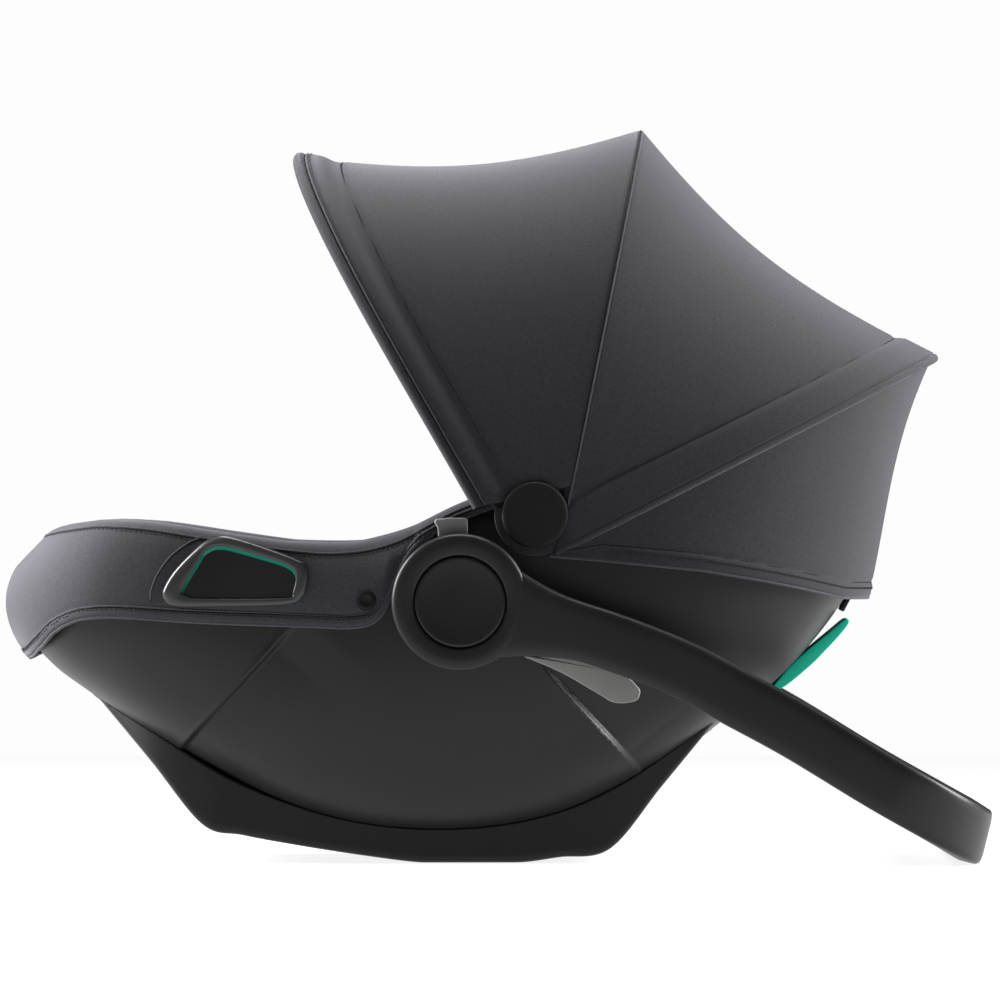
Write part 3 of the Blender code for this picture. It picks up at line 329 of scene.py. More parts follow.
class Finishes:
    """Every finish of the seat, each made once."""

    def __init__(self) -> None:
        """Build the materials."""
        fine, slight = 0.7 * MM, 0.01 * MM
        # Grained charcoal tub: dull, a little grey where light grazes it.
        self.shell = MouldedPlastic("grained_polypropylene_shell", "19191a", 0.44).build()
        # Near-black base: its edge against the shell reads as a dark line.
        self.base = MouldedPlastic("black_polypropylene_base", "0a0a0b", 0.42).build()
        # Satin handle: a soft long highlight along the bar and round the hubs.
        self.handle = MouldedPlastic("black_nylon_handle", "1a1a1b", 0.38, fine,
                                     0.025 * MM).build()
        # Smoother hub disc, set off from its ring by a sharper sheen.
        self.disc = MouldedPlastic("satin_abs_hub_disc", "19191a", 0.34, 0.6 * MM, slight).build()
        # Belt guide: the shiniest plastic, with a bright rounded rim. Its glossy black is drawn
        # lighter than the black trim as a painted highlight.
        self.bezel = MouldedPlastic("satin_abs_belt_guide", "2b2b2c", 0.30, 0.6 * MM, slight,
                                    specular=0.5).build()
        # Green edge inside the guide: the belt-route green drawn darker as painted shade in the recess.
        self.shaded_lining_green = MouldedPlastic("green_pom_guide_lining", "07705c", 0.42, fine,
                                           slight).build()
        # Plain black fittings: hoops, buckle, adjuster and headrest shell.
        self.trim = MouldedPlastic("black_abs_trim", "151516", 0.36, fine, 0.02 * MM).build()
        # Flat black caps and studs that give no highlight.
        self.cap = MouldedPlastic("matt_abs_canopy_cap", "0a0a0b", 0.62).build()
        # Mid grey that marks what the hand works.
        self.grey = MouldedPlastic("grey_abs_control", "7b7b7a", 0.42).build()
        # Bright sea green that marks the belt's route.
        self.green = MouldedPlastic("green_pom_belt_route", "18c3a3", 0.34, fine, slight).build()
        # Signal red button with a clear shine.
        self.red = MouldedPlastic("red_abs_buckle_button", "b5231f", 0.30, fine, slight).build()
        # Warm grey melange with a light bloom where it turns away.
        self.cover = Cloth("melange_jersey_cover", "323136", "3d3c41").build()
        # The same yarn, knitted a little finer, drawn darker than the cover cloth as painted shade.
        self.canopy = Cloth("melange_jersey_canopy", "28272b", "313034", 1.4 * MM).build()
        # Brushed face of the pads: softest, with the most bloom.
        self.lining = Cloth("brushed_jersey_pad", "2f2e33", "3b3a3f", 1.8 * MM, 0.14 * MM,
                            sheen=0.45).build()
        # Rolled jersey cord, drawn a little lighter than the cloth as a painted highlight on its crest.
        self.piping = Cloth("jersey_piping", "3b3a3f", "454449", 1.2 * MM, 0.06 * MM).build()
        # Painted seam shade: near-black cloth for cords laid in seams, grooves and folds where shade
        # falls.
        self.gap = Cloth("seam_shadow", "0c0c0e", "121114", 1.2 * MM, 0.02 * MM, sheen=0.0).build()
        # Tight dark thread in short stitches.
        self.thread = Cloth("polyester_thread", "17171a", "262529", 0.5 * MM, 0.05 * MM,
                            sheen=0.1).build()
        # Black webbing with a ribbed, slightly silky face.
        self.webbing = Cloth("polyester_webbing", "141416", "202023", 1.6 * MM, 0.16 * MM, 0.62,
                             0.12, Weave.WEBBING).build()
        # Bright plated bars, tongues and screws.
        self.steel = RolledSteel("plated_steel").build()
        # Dull dark liner with dimpled beads.
        self.foam = BeadFoam("expanded_polypropylene").build()


# ---------- curves

def smooth_curve(points: Table, samples: int = 400) -> np.ndarray:
    """Sample a Catmull-Rom curve through points of any dimension.

    Args:
        points: The points it passes through.
        samples: How many points to give back.

    Returns:
        One row for each sample.
    """
    p = np.array(points, float)
    p = np.vstack([2 * p[0] - p[1], p, 2 * p[-1] - p[-2]])
    last = len(points) - 1
    t = np.linspace(0.0, last, samples)
    i = np.minimum(t.astype(int), last - 1)
    f = (t - i)[:, None]
    a, b, c, d = p[i], p[i + 1], p[i + 2], p[i + 3]
    return 0.5 * (2 * b + (c - a) * f + (2 * a - 5 * b + 4 * c - d) * f ** 2
                  + (3 * b - a - 3 * c + d) * f ** 3)


def lengths_along(curve: np.ndarray) -> np.ndarray:
    """Length from the start to each point of a dense curve."""
    return np.concatenate([[0.0], np.cumsum(np.linalg.norm(np.diff(curve, axis=0), axis=1))])


def even_points(curve: np.ndarray, count: int) -> np.ndarray:
    """Pick points evenly spaced by length along a dense curve.

    Args:
        curve: The dense curve, one row a point.
        count: How many points to give back.

    Returns:
        The points, one row each.
    """
    length = lengths_along(curve)
    at = np.linspace(0.0, length[-1], count)
    return np.array([np.interp(at, length, column) for column in curve.T]).T


def closed_outline(corners: Table, count: int) -> list[tuple[float, float]]:
    """Round a closed outline of (x, z) corners into evenly spaced points.

    Args:
        corners: The outline's points, in order.
        count: How many points to give back.

    Returns:
        The smooth outline.
    """
    wrapped = [*corners[-2:], *corners, *corners[:2]]
    dense = smooth_curve(wrapped, 80 * len(wrapped))
    step = len(dense) / (len(wrapped) - 1)
    once = dense[round(step * 2) - 2:round(step * (len(corners) + 2)) - 1]
    return [(float(x), float(z)) for x, z in even_points(once, count + 1)[:-1]]


def vectors(rows: Iterable) -> list[Vector]:
    """Turn rows of numbers into vectors."""
    return [Vector([float(v) for v in row]) for row in rows]


# ---------- meshes

def grid_sheet(columns: int, rows: int, place: Placer, width: float, length: float) -> BMesh:
    """Shape a flat grid into a sheet, with a UV map in metres for its weave.

    Args:
        columns: Faces along u.
        rows: Faces along v.
        place: Gives the point for u and v, each from 0 to 1.
        width: Size along u that the UV map gets.
        length: Size along v that the UV map gets.

    Returns:
        The shaped grid.
    """
    bm = bmesh.new()
    bmesh.ops.create_grid(bm, x_segments=columns, y_segments=rows, size=0.5)
    weave = bm.loops.layers.uv.new("weave")
    for face in bm.faces:
        for loop in face.loops:
            u, v = loop.vert.co.x + 0.5, loop.vert.co.y + 0.5
            loop[weave].uv = (u * width, v * length)
    for vert in bm.verts:
        vert.co = place(vert.co.x + 0.5, vert.co.y + 0.5)
    return bm


def close_up(bm: BMesh, distance: float = 1e-5) -> BMesh:
    """Merge doubles, fill open ends and point the faces out.

    Args:
        bm: The piece.
        distance: How near two points are merged.

    Returns:
        The same piece, closed.
    """
    bmesh.ops.remove_doubles(bm, verts=bm.verts, dist=distance)
    bmesh.ops.holes_fill(bm, edges=[e for e in bm.edges if e.is_boundary])
    bmesh.ops.recalc_face_normals(bm, faces=bm.faces)
    return bm


def mirror_over(bm: BMesh, bottom_up: bool = False) -> BMesh:
    """Join a sheet on the -Y side to its mirror image.

    Args:
        bm: The sheet.
        bottom_up: Whether its lowest face looks up, as in a bowl, and not down.

    Returns:
        The whole sheet.
    """
    for vert in bm.verts:
        if abs(vert.co.y) < 1e-5:
            vert.co.y = 0.0
    bmesh.ops.remove_doubles(bm, verts=bm.verts, dist=1e-5)
    bmesh.ops.mirror(bm, geom=bm.verts[:] + bm.edges[:] + bm.faces[:], axis="Y", merge_dist=1e-6)
    bmesh.ops.remove_doubles(bm, verts=bm.verts, dist=1e-5)
    look_down(bm)
    if bottom_up:
        bmesh.ops.reverse_faces(bm, faces=bm.faces)
    return bm


def look_down(bm: BMesh) -> None:
    """Turn a trough's faces so that the lowest one looks down.

    Args:
        bm: The trough.
    """
    bmesh.ops.recalc_face_normals(bm, faces=bm.faces)
    lowest = min(bm.faces, key=lambda face: face.calc_center_median().z)
    if lowest.normal.z > 0:
        bmesh.ops.reverse_faces(bm, faces=bm.faces)


def join_pair(bm: BMesh, left: BMesh) -> None:
    """Add a left piece and its mirror image to a mesh.

    Args:
        bm: The mesh that they are added to.
        left: The left piece, which is used up.
    """
    for extra in (left, flipped(left)):
        scrap = bpy.data.meshes.new("scrap")
        extra.to_mesh(scrap)
        bm.from_mesh(scrap)
        extra.free()
        bpy.data.meshes.remove(scrap)


def evaluated_mesh(obj: Object) -> Mesh:
    """The mesh that an object's modifiers or curve make, as a new mesh.

    Args:
        obj: The object.

    Returns:
        The new mesh.
    """
    bpy.context.view_layer.update()
    depsgraph = bpy.context.evaluated_depsgraph_get()
    return bpy.data.meshes.new_from_object(obj.evaluated_get(depsgraph))


def flipped(bm: BMesh) -> BMesh:
    """Copy a piece to the other side of the symmetry plane.

    Args:
        bm: The left piece.

    Returns:
        The right piece, as a new mesh.
    """
    other = bm.copy()
    bmesh.ops.scale(other, vec=(1.0, -1.0, 1.0), verts=other.verts)
    bmesh.ops.reverse_faces(other, faces=other.faces)
    return other


def turned(profile: Table, x: float, z: float, steps: int = 72) -> BMesh:
    """Spin a profile about an axis across the seat, on the -Y side.

    Args:
        profile: (radius, distance from the symmetry plane) points.
        x: The axis's X.
        z: The axis's Z.
        steps: Faces round it.

    Returns:
        The closed solid.
    """
    bm = bmesh.new()
    verts = [bm.verts.new((x + radius, -y, z)) for radius, y in profile]
    pairs = list(zip(verts, verts[1:]))
    if profile[0][0] > 0 or profile[-1][0] > 0:
        pairs.append((verts[-1], verts[0]))
    edges = [bm.edges.new(pair) for pair in pairs]
    bmesh.ops.spin(bm, geom=verts + edges, cent=(x, 0.0, z), axis=(0.0, 1.0, 0.0),
                   angle=2 * math.pi, steps=steps, use_merge=True)
    bmesh.ops.remove_doubles(bm, verts=bm.verts, dist=1e-6)
    bmesh.ops.recalc_face_normals(bm, faces=bm.faces)
    return bm


def plate(outline: Table, inner: float, outer: float, bevel: float) -> BMesh:
    """Extrude an (x, z) outline across the seat on the -Y side, and round its edges.

    Args:
        outline: The plate's outline.
        inner: Distance of its inner face from the symmetry plane.
        outer: Distance of its outer face.
        bevel: Radius of its edges.

    Returns:
        The closed solid.
    """
    bm = bmesh.new()
    face = bm.faces.new([bm.verts.new((x, -inner, z)) for x, z in outline])
    made = bmesh.ops.extrude_face_region(bm, geom=[face])
    moved = [item for item in made["geom"] if isinstance(item, bmesh.types.BMVert)]
    bmesh.ops.translate(bm, verts=moved, vec=(0.0, inner - outer, 0.0))
    bmesh.ops.recalc_face_normals(bm, faces=bm.faces)
    rims = [e for e in bm.edges if e.verts[0] in moved and e.verts[1] in moved]
    bmesh.ops.bevel(bm, geom=rims, offset=bevel, segments=4, profile=0.5, material=-1,
                    affect="EDGES")
    return bm


def block(center: Sequence[float], size: Sequence[float], angle: float = 0.0, bevel: float = 0.001,
          segments: int = 4) -> BMesh:
    """A box with rounded edges, tipped about Y so that a positive angle lifts its +X end.

    Args:
        center: Its middle.
        size: Its three sizes.
        angle: How far it is tipped.
        bevel: Radius of its edges.
        segments: Faces across each rounded edge.

    Returns:
        The closed solid.
    """
    bm = bmesh.new()
    bmesh.ops.create_cube(bm, size=1.0)
    bmesh.ops.scale(bm, vec=size, verts=bm.verts)
    bmesh.ops.bevel(bm, geom=bm.edges[:], offset=bevel, segments=segments, profile=0.5,
                    material=-1, affect="EDGES")
    bmesh.ops.transform(bm, matrix=Matrix.Translation(center) @ Matrix.Rotation(-angle, 4, "Y"),
                        verts=bm.verts)
    bmesh.ops.recalc_face_normals(bm, faces=bm.faces)
    return bm


def aheads(points: Sequence[Vector]) -> list[Vector]:
    """Direction of travel at each point of a path.

    Args:
        points: The path.

    Returns:
        One direction for each point.
    """
    last = len(points) - 1
    return [points[min(i + 1, last)] - points[max(i - 1, 0)] for i in range(last + 1)]


def path_frames(points: Sequence[Vector], up: Vector) -> tuple[list[Vector], list[Vector]]:
    """Side and normal directions along a path, with the normals as near to up as they can be.

    Args:
        points: The path.
        up: The direction that the normals keep to.

    Returns:
        The side directions and the normals.
    """
    paths = aheads(points)
    sides = [ahead.cross(up).normalized() for ahead in paths]
    return sides, [side.cross(ahead).normalized() for side, ahead in zip(sides, paths)]


def swept(points: Sequence[Vector], sides: Sequence[Vector], normals: Sequence[Vector],
          sizes: Sequence[tuple[float, float]], around: int = 24,
          squareness: float = 4.0) -> BMesh:
    """Sweep a rounded rectangle along a path.

    Args:
        points: The path.
        sides: Direction of the section's width at each point.
        normals: Direction of its thickness.
        sizes: Width and thickness at each point.
        around: Faces round the section.
        squareness: The section's superellipse exponent, 2 for an ellipse.

    Returns:
        The closed solid, with a UV map in metres.
    """
    last = len(points) - 1
    reach = sum((b - a).length for a, b in zip(points, points[1:]))

    def place(u: float, v: float) -> Vector:
        """Point of the sheet at u and v."""
        i = round(v * last)
        angle = 2 * math.pi * (round(u * around) % around) / around
        width, height = sizes[i]
        a = math.copysign(abs(math.cos(angle)) ** (2 / squareness), math.cos(angle)) * width / 2
        b = math.copysign(abs(math.sin(angle)) ** (2 / squareness), math.sin(angle)) * height / 2
        return points[i] + sides[i] * a + normals[i] * b

    girth = 2 * (sizes[0][0] + sizes[0][1])
    return close_up(grid_sheet(around, last, place, girth, reach), 1e-6)


def line_mesh(lines: Sequence[Sequence[Vector]], radius: float, resolution: int = 1,
              cyclic: bool = False) -> Mesh:
    """Round cords along lines, as one mesh.

    Args:
        lines: Each cord's points.
        radius: The cords' radius.
        resolution: Roundness: 0 has four sides, 1 has six.
        cyclic: Whether each line closes on itself.

    Returns:
        The mesh of all cords.
    """
    curve = bpy.data.curves.new("cord_line", "CURVE")
    curve.dimensions = "3D"
    curve.bevel_depth = radius
    curve.bevel_resolution = resolution
    curve.use_fill_caps = True
    for points in lines:
        spline = curve.splines.new("POLY")
        spline.points.add(len(points) - 1)
        spline.points.foreach_set("co", [v for p in points for v in (*p, 1.0)])
        spline.use_cyclic_u = cyclic
    helper = bpy.data.objects.new("cord_line", curve)
    bpy.context.collection.objects.link(helper)
    made = evaluated_mesh(helper)
    bpy.data.objects.remove(helper)
    bpy.data.curves.remove(curve)
    return made


def dashes(points: Sequence[Vector], normals: Sequence[Vector], stitch: float = 2.6 * MM,
           gap: float = 1.4 * MM, zigzag: float = 0.0) -> list[list[Vector]]:
    """Split a line on a surface into stitches that dip at their ends.

    Args:
        points: The seam line.
        normals: The surface's normal at each point.
        stitch: Length of a stitch.
        gap: Space between stitches.
        zigzag: How far the stitches swing to each side.

    Returns:
        Three points for each stitch.
    """
    length = lengths_along(np.array(points))
    dense, high = np.array(points), np.array(normals)
    step = stitch + gap
    swing = 1.0
    found = []
    for i in range(int((length[-1] - stitch) / step)):
        at = i * step + np.array([0.0, 0.5, 1.0]) * stitch
        where = np.array([np.interp(at, length, column) for column in dense.T]).T
        out = np.array([np.interp(at, length, column) for column in high.T]).T
        ahead = where[2] - where[0]
        across = np.cross(ahead, out[1])
        across /= np.linalg.norm(across) + 1e-9
        sway = zigzag * swing * np.array([-1.0, 0.0, 1.0])[:, None] * across
        lift = np.array([-0.15, 0.30, -0.15])[:, None] * MM * out
        found.append(vectors(where + sway + lift))
        swing = -swing
    return found


def on_surface(tree: BVHTree, points: Iterable[Vector], lift: float) -> tuple[list[Vector], list[Vector]]:
    """Lay points on a surface.

    Args:
        tree: The surface.
        points: The points to lay.
        lift: How far off it they go.

    Returns:
        The laid points and the surface's normals there.
    """
    laid, normals = [], []
    for point in points:
        hit, normal, _, _ = tree.find_nearest(point)
        laid.append(hit + normal * lift)
        normals.append(normal)
    return laid, normals


# ---------- pieces

@dataclass
class Assembly:
    """A group of pieces that share the seat's finishes and report themselves as they are made."""

    finishes: Finishes

    def piece(self, name: str, shape: BMesh | Mesh, material: Material,
              slot: str, body: Optional[str], stands_for: Sequence[str] = (), sharp: float = 40.0,
              wall: float = 0.0, wall_offset: float = -1.0, folds: bool = False) -> Object:
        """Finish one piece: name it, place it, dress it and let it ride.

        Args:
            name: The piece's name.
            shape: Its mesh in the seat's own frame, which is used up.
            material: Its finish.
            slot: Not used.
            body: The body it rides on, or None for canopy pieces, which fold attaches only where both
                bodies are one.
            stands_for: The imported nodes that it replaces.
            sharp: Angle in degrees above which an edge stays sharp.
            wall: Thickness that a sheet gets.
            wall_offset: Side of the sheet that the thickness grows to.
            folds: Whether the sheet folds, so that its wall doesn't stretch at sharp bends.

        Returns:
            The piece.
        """
        if isinstance(shape, BMesh):
            mesh = bpy.data.meshes.new(name)
            shape.to_mesh(mesh)
            shape.free()
        else:
            mesh = shape
            mesh.name = name
        mesh.transform(Matrix.Translation(SEAT_SHIFT))
        mesh.shade_smooth()
        mesh.set_sharp_from_angle(angle=math.radians(sharp))
        mesh.materials.clear()
        mesh.materials.append(material)
        obj = bpy.data.objects.new(name, mesh)
        bpy.context.collection.objects.link(obj)
        if wall:
            solidify = obj.modifiers.new("wall", "SOLIDIFY")
            solidify.thickness = wall
            solidify.offset = wall_offset
            solidify.use_even_offset = not folds
        if stands_for:
            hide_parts(*stands_for)
        if body:
            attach(obj, body)
        log.info("%s: %d faces on %s", name, len(mesh.polygons), body or "a blend")
        return obj

    def pair(self, name: str, left: BMesh, material: Material, slot: str,
             body: str, replaces: bool = True, **options: float) -> list[Object]:
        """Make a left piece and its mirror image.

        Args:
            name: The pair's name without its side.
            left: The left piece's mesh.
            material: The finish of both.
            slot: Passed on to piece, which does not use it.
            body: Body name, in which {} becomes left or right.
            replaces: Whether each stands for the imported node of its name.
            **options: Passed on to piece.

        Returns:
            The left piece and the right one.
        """
        right = flipped(left)
        made = []
        for side, shape in ((Side.LEFT, left), (Side.RIGHT, right)):
            node = f"{name}_{side.word}"
            stands_for = (node,) if replaces else ()
            made.append(self.piece(f"{node}_made", shape, material, slot, body.format(side.word),
                                   stands_for, **options))
        return made

    def dress_node(self, node: str, material: Material) -> None:
        """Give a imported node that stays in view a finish.

        Args:
            node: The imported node's name.
            material: Its finish.
        """
        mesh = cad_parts[node].data
        mesh.materials.clear()
        mesh.materials.append(material)
        log.info("%s: packed shape kept", node)


def puff(obj: Object, voxel: float, pressure: float, cap: float) -> None:
    """Swell a closed shape like a stuffed pad: remesh, cloth with pressure, a cap, one rounding.

    Args:
        obj: The pad. Its mesh is replaced.
        voxel: Remesh size.
        pressure: Cloth pressure.
        cap: The furthest that a point may move.
    """
    scene = bpy.context.scene
    remesh = obj.modifiers.new("even", "REMESH")
    remesh.mode = "VOXEL"
    remesh.voxel_size = voxel
    even = evaluated_mesh(obj)
    obj.modifiers.clear()
    old, obj.data = obj.data, even
    even.name = old.name
    before = np.zeros(len(even.vertices) * 3, np.float32)
    even.vertices.foreach_get("co", before)
    cloth = obj.modifiers.new("stuffing", "CLOTH")
    cloth.settings.use_pressure = True
    cloth.settings.uniform_pressure_force = pressure
    cloth.settings.effector_weights.gravity = 0.0
    cloth.settings.tension_stiffness = 15.0
    cloth.settings.bending_stiffness = 0.5
    for step in range(1, STUFFING_FRAMES + 1):
        scene.frame_set(step)
    swollen = bpy.data.meshes.new_from_object(obj.evaluated_get(
        bpy.context.evaluated_depsgraph_get()))
    obj.modifiers.clear()
    after = np.zeros_like(before)
    swollen.vertices.foreach_get("co", after)
    bpy.data.meshes.remove(swollen)
    scene.frame_set(1)
    move = np.nan_to_num((after - before).reshape(-1, 3))
    far = np.linalg.norm(move, axis=1, keepdims=True)
    move *= np.minimum(1.0, cap / np.maximum(far, 1e-9))
    even.vertices.foreach_set("co", (before.reshape(-1, 3) + move).astype(np.float32).ravel())
    bm = bmesh.new()
    bm.from_mesh(even)
    for _ in range(3):
        bmesh.ops.smooth_vert(bm, verts=bm.verts, factor=0.5, use_axis_x=True, use_axis_y=True,
                              use_axis_z=True)
    bm.to_mesh(even)
    bm.free()
    subdivision = obj.modifiers.new("fine", "SUBSURF")
    subdivision.levels = subdivision.render_levels = 1
    fine = evaluated_mesh(obj)
    obj.modifiers.clear()
    materials = list(old.materials)
    obj.data = fine
    fine.name = old.name + "_pad"
    fine.materials.clear()
    for material in materials:
        fine.materials.append(material)
    fine.shade_smooth()


def sew_channels(obj: Object, lines: Sequence[Sequence[Vector]], depth: float,
                 width: float) -> None:
    """Press seams into a pad and give it a weave map.

    Args:
        obj: The pad.
        lines: Dense seam lines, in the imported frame.
        depth: How far the cloth is drawn in at a seam.
        width: How wide the dip is.
    """
    mesh = obj.data
    points = [p for line in lines for p in line]
    seams = KDTree(len(points))
    for i, point in enumerate(points):
        seams.insert(point, i)
    seams.balance()
    normals = [v.normal.copy() for v in mesh.vertices]
    for vert, normal in zip(mesh.vertices, normals):
        _, _, distance = seams.find(vert.co)
        vert.co -= normal * depth * math.exp(-(distance / width) ** 2)
    weave = mesh.uv_layers.new(name="weave")
    for loop in mesh.loops:
        co = mesh.vertices[loop.vertex_index].co
        weave.data[loop.index].uv = (co.y, co.x * 0.8 + co.z * 0.6)
    mesh.update()


def tree_of(obj: Object) -> BVHTree:
    """Search tree of a piece's mesh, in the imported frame.

    Args:
        obj: The piece.

    Returns:
        The search tree.
    """
    bm = bmesh.new()
    bm.from_mesh(obj.data)
    tree = BVHTree.FromBMesh(bm)
    bm.free()
    return tree


# ---------- tub surfaces

@dataclass
class LoftedSurface:
    """A boat-like surface through keel-to-rim sections: keel x, keel z, rim x, half-width, rim z."""

    stations: Table
    squareness: float
    dense: np.ndarray = field(init=False)
    tree: BVHTree = field(init=False)

    def __post_init__(self) -> None:
        """Sample the stations and build a search tree."""
        self.dense = even_points(smooth_curve(self.stations, 900), 500)
        bm = self.sheet(150, 60)
        self.tree = BVHTree.FromBMesh(bm)
        bm.free()

    def station(self, share: float) -> list[float]:
        """The section's five sizes at a share of the length.

        Args:
            share: Share of the length from the foot end.

        Returns:
            Keel x, keel z, rim x, half-width and rim z.
        """
        at = share * (len(self.dense) - 1)
        index = np.arange(len(self.dense))
        return [float(np.interp(at, index, column)) for column in self.dense.T]

    def at(self, share: float, phi: float) -> Vector:
        """Point from the keel (phi 0) to the left rim (90 degrees) at a share of the length.

        Args:
            share: Share of the length from the foot end.
            phi: Angle round the section.

        Returns:
            The point.
        """
        keel_x, keel_z, rim_x, half_width, rim_z = self.station(share)
        exponent = 2.3 + self.squareness * max(0.0, math.sin(math.pi * share)) ** 0.7
        across = math.sin(phi) ** (2 / exponent)
        up = 1 - max(math.cos(phi), 0.0) ** (2 / exponent)
        return Vector((keel_x + (rim_x - keel_x) * up, -half_width * across,
                       keel_z + (rim_z - keel_z) * up))

    def sheet(self, along: int, across: int) -> BMesh:
        """The whole surface as a sheet, mirrored over the symmetry plane."""
        bm = grid_sheet(along, across, lambda u, v: self.at(u, v * math.pi / 2), 0.8, 0.35)
        return mirror_over(bm)


@dataclass
class TubShapes:
    """The shell's outside and the bowl's inside, and the ways to find points on them."""

    tub_stations: Table = (
        (-0.345, 0.242, -0.345, 0.000, 0.242), (-0.366, 0.223, -0.343, 0.040, 0.243),
        (-0.373, 0.198, -0.337, 0.080, 0.246), (-0.365, 0.172, -0.322, 0.115, 0.250),
        (-0.345, 0.149, -0.297, 0.140, 0.254), (-0.315, 0.127, -0.262, 0.153, 0.252),
        (-0.268, 0.092, -0.220, 0.160, 0.245), (-0.213, 0.055, -0.175, 0.166, 0.238),
        (-0.152, 0.029, -0.125, 0.172, 0.234), (-0.090, 0.015, -0.080, 0.177, 0.242),
        (-0.025, 0.012, -0.030, 0.180, 0.268), (0.040, 0.023, 0.025, 0.180, 0.286),
        (0.090, 0.047, 0.080, 0.180, 0.292), (0.137, 0.080, 0.135, 0.176, 0.292),
        (0.180, 0.113, 0.185, 0.165, 0.287), (0.220, 0.144, 0.228, 0.143, 0.280),
        (0.258, 0.188, 0.262, 0.108, 0.272), (0.284, 0.232, 0.284, 0.058, 0.265),
        (0.292, 0.262, 0.292, 0.000, 0.262))
    bowl_stations: Table = (
        (-0.322, 0.246, -0.322, 0.000, 0.246), (-0.318, 0.226, -0.318, 0.045, 0.248),
        (-0.300, 0.197, -0.308, 0.085, 0.252), (-0.270, 0.173, -0.285, 0.116, 0.255),
        (-0.240, 0.152, -0.250, 0.133, 0.252), (-0.205, 0.131, -0.205, 0.141, 0.245),
        (-0.157, 0.101, -0.155, 0.147, 0.238), (-0.110, 0.077, -0.105, 0.153, 0.239),
        (-0.060, 0.062, -0.060, 0.157, 0.252), (-0.005, 0.067, -0.010, 0.159, 0.273),
        (0.050, 0.095, 0.045, 0.159, 0.287), (0.095, 0.125, 0.100, 0.157, 0.291),
        (0.135, 0.154, 0.150, 0.151, 0.289), (0.178, 0.188, 0.195, 0.140, 0.284),
        (0.218, 0.222, 0.235, 0.116, 0.279), (0.248, 0.247, 0.258, 0.080, 0.274),
        (0.265, 0.262, 0.268, 0.044, 0.270), (0.271, 0.270, 0.271, 0.000, 0.270))
    focus: Vector = field(default_factory=lambda: Vector((-0.030, 0.0, 0.262)))
    tub: LoftedSurface = field(init=False)
    bowl: LoftedSurface = field(init=False)

    def __post_init__(self) -> None:
        """Loft both surfaces."""
        self.tub = LoftedSurface(self.tub_stations, 1.2)
        self.bowl = LoftedSurface(self.bowl_stations, 0.9)

    def seen(self, surface: LoftedSurface, heading: float, elevation: float, offset: float) -> Vector:
        """Point of a surface in a direction from the focus, moved out along its normal.

        Args:
            surface: The tub or the bowl.
            heading: Angle round the seat, 0 towards the head end.
            elevation: Angle above level.
            offset: How far the point moves out.

        Returns:
            The point.
        """
        ray = Vector((math.cos(heading) * math.cos(elevation),
                      -math.sin(heading) * math.cos(elevation), math.sin(elevation)))
        hit, normal, _, _ = surface.tree.ray_cast(self.focus, ray)
        if normal.dot(ray) < 0:
            normal = -normal
        point = hit + normal * offset
        if min(heading, math.pi - heading) < 1e-6:
            point.y = 0.0
        return point

    def direction(self, point: Vector) -> tuple[float, float]:
        """Heading and elevation of a point from the focus."""
        away = Vector(point) - self.focus
        return math.atan2(abs(away.y), away.x), math.atan2(away.z, math.hypot(away.x, away.y))

    def rim(self, count: int) -> list[tuple[float, float, Vector]]:
        """Heading, elevation and point at evenly spaced places on the tub's left rim."""
        curve = smooth_curve([(s[2], -s[3], s[4]) for s in self.tub_stations])
        return [(*self.direction(p), p) for p in vectors(even_points(curve, count))]

    def bowl_rim(self, heading: float) -> float:
        """Elevation of the bowl's rim at a heading."""
        places = [self.direction(Vector((s[2], -s[3], s[4]))) for s in self.bowl_stations][::-1]
        return float(np.interp(heading, [p[0] for p in places], [p[1] for p in places]))

    def side(self, x: float, z: float, offset: float) -> Vector:
        """Point of the tub's left side at x and z, moved out by offset, also just above the rim.

        Args:
            x: Its X.
            z: Its Z.
            offset: How far off the tub it is.

        Returns:
            The point.
        """
        rim_z = float(np.interp(x, [s[2] for s in self.tub_stations],
                                [s[4] for s in self.tub_stations]))
        start = Vector((x, -0.4, min(z, rim_z - 0.003)))
        hit, normal, _, _ = self.tub.tree.ray_cast(start, Vector((0.0, 1.0, 0.0)))
        return Vector((x, hit.y - offset / max(0.3, abs(normal.y)), z))


# ---------- shell and base

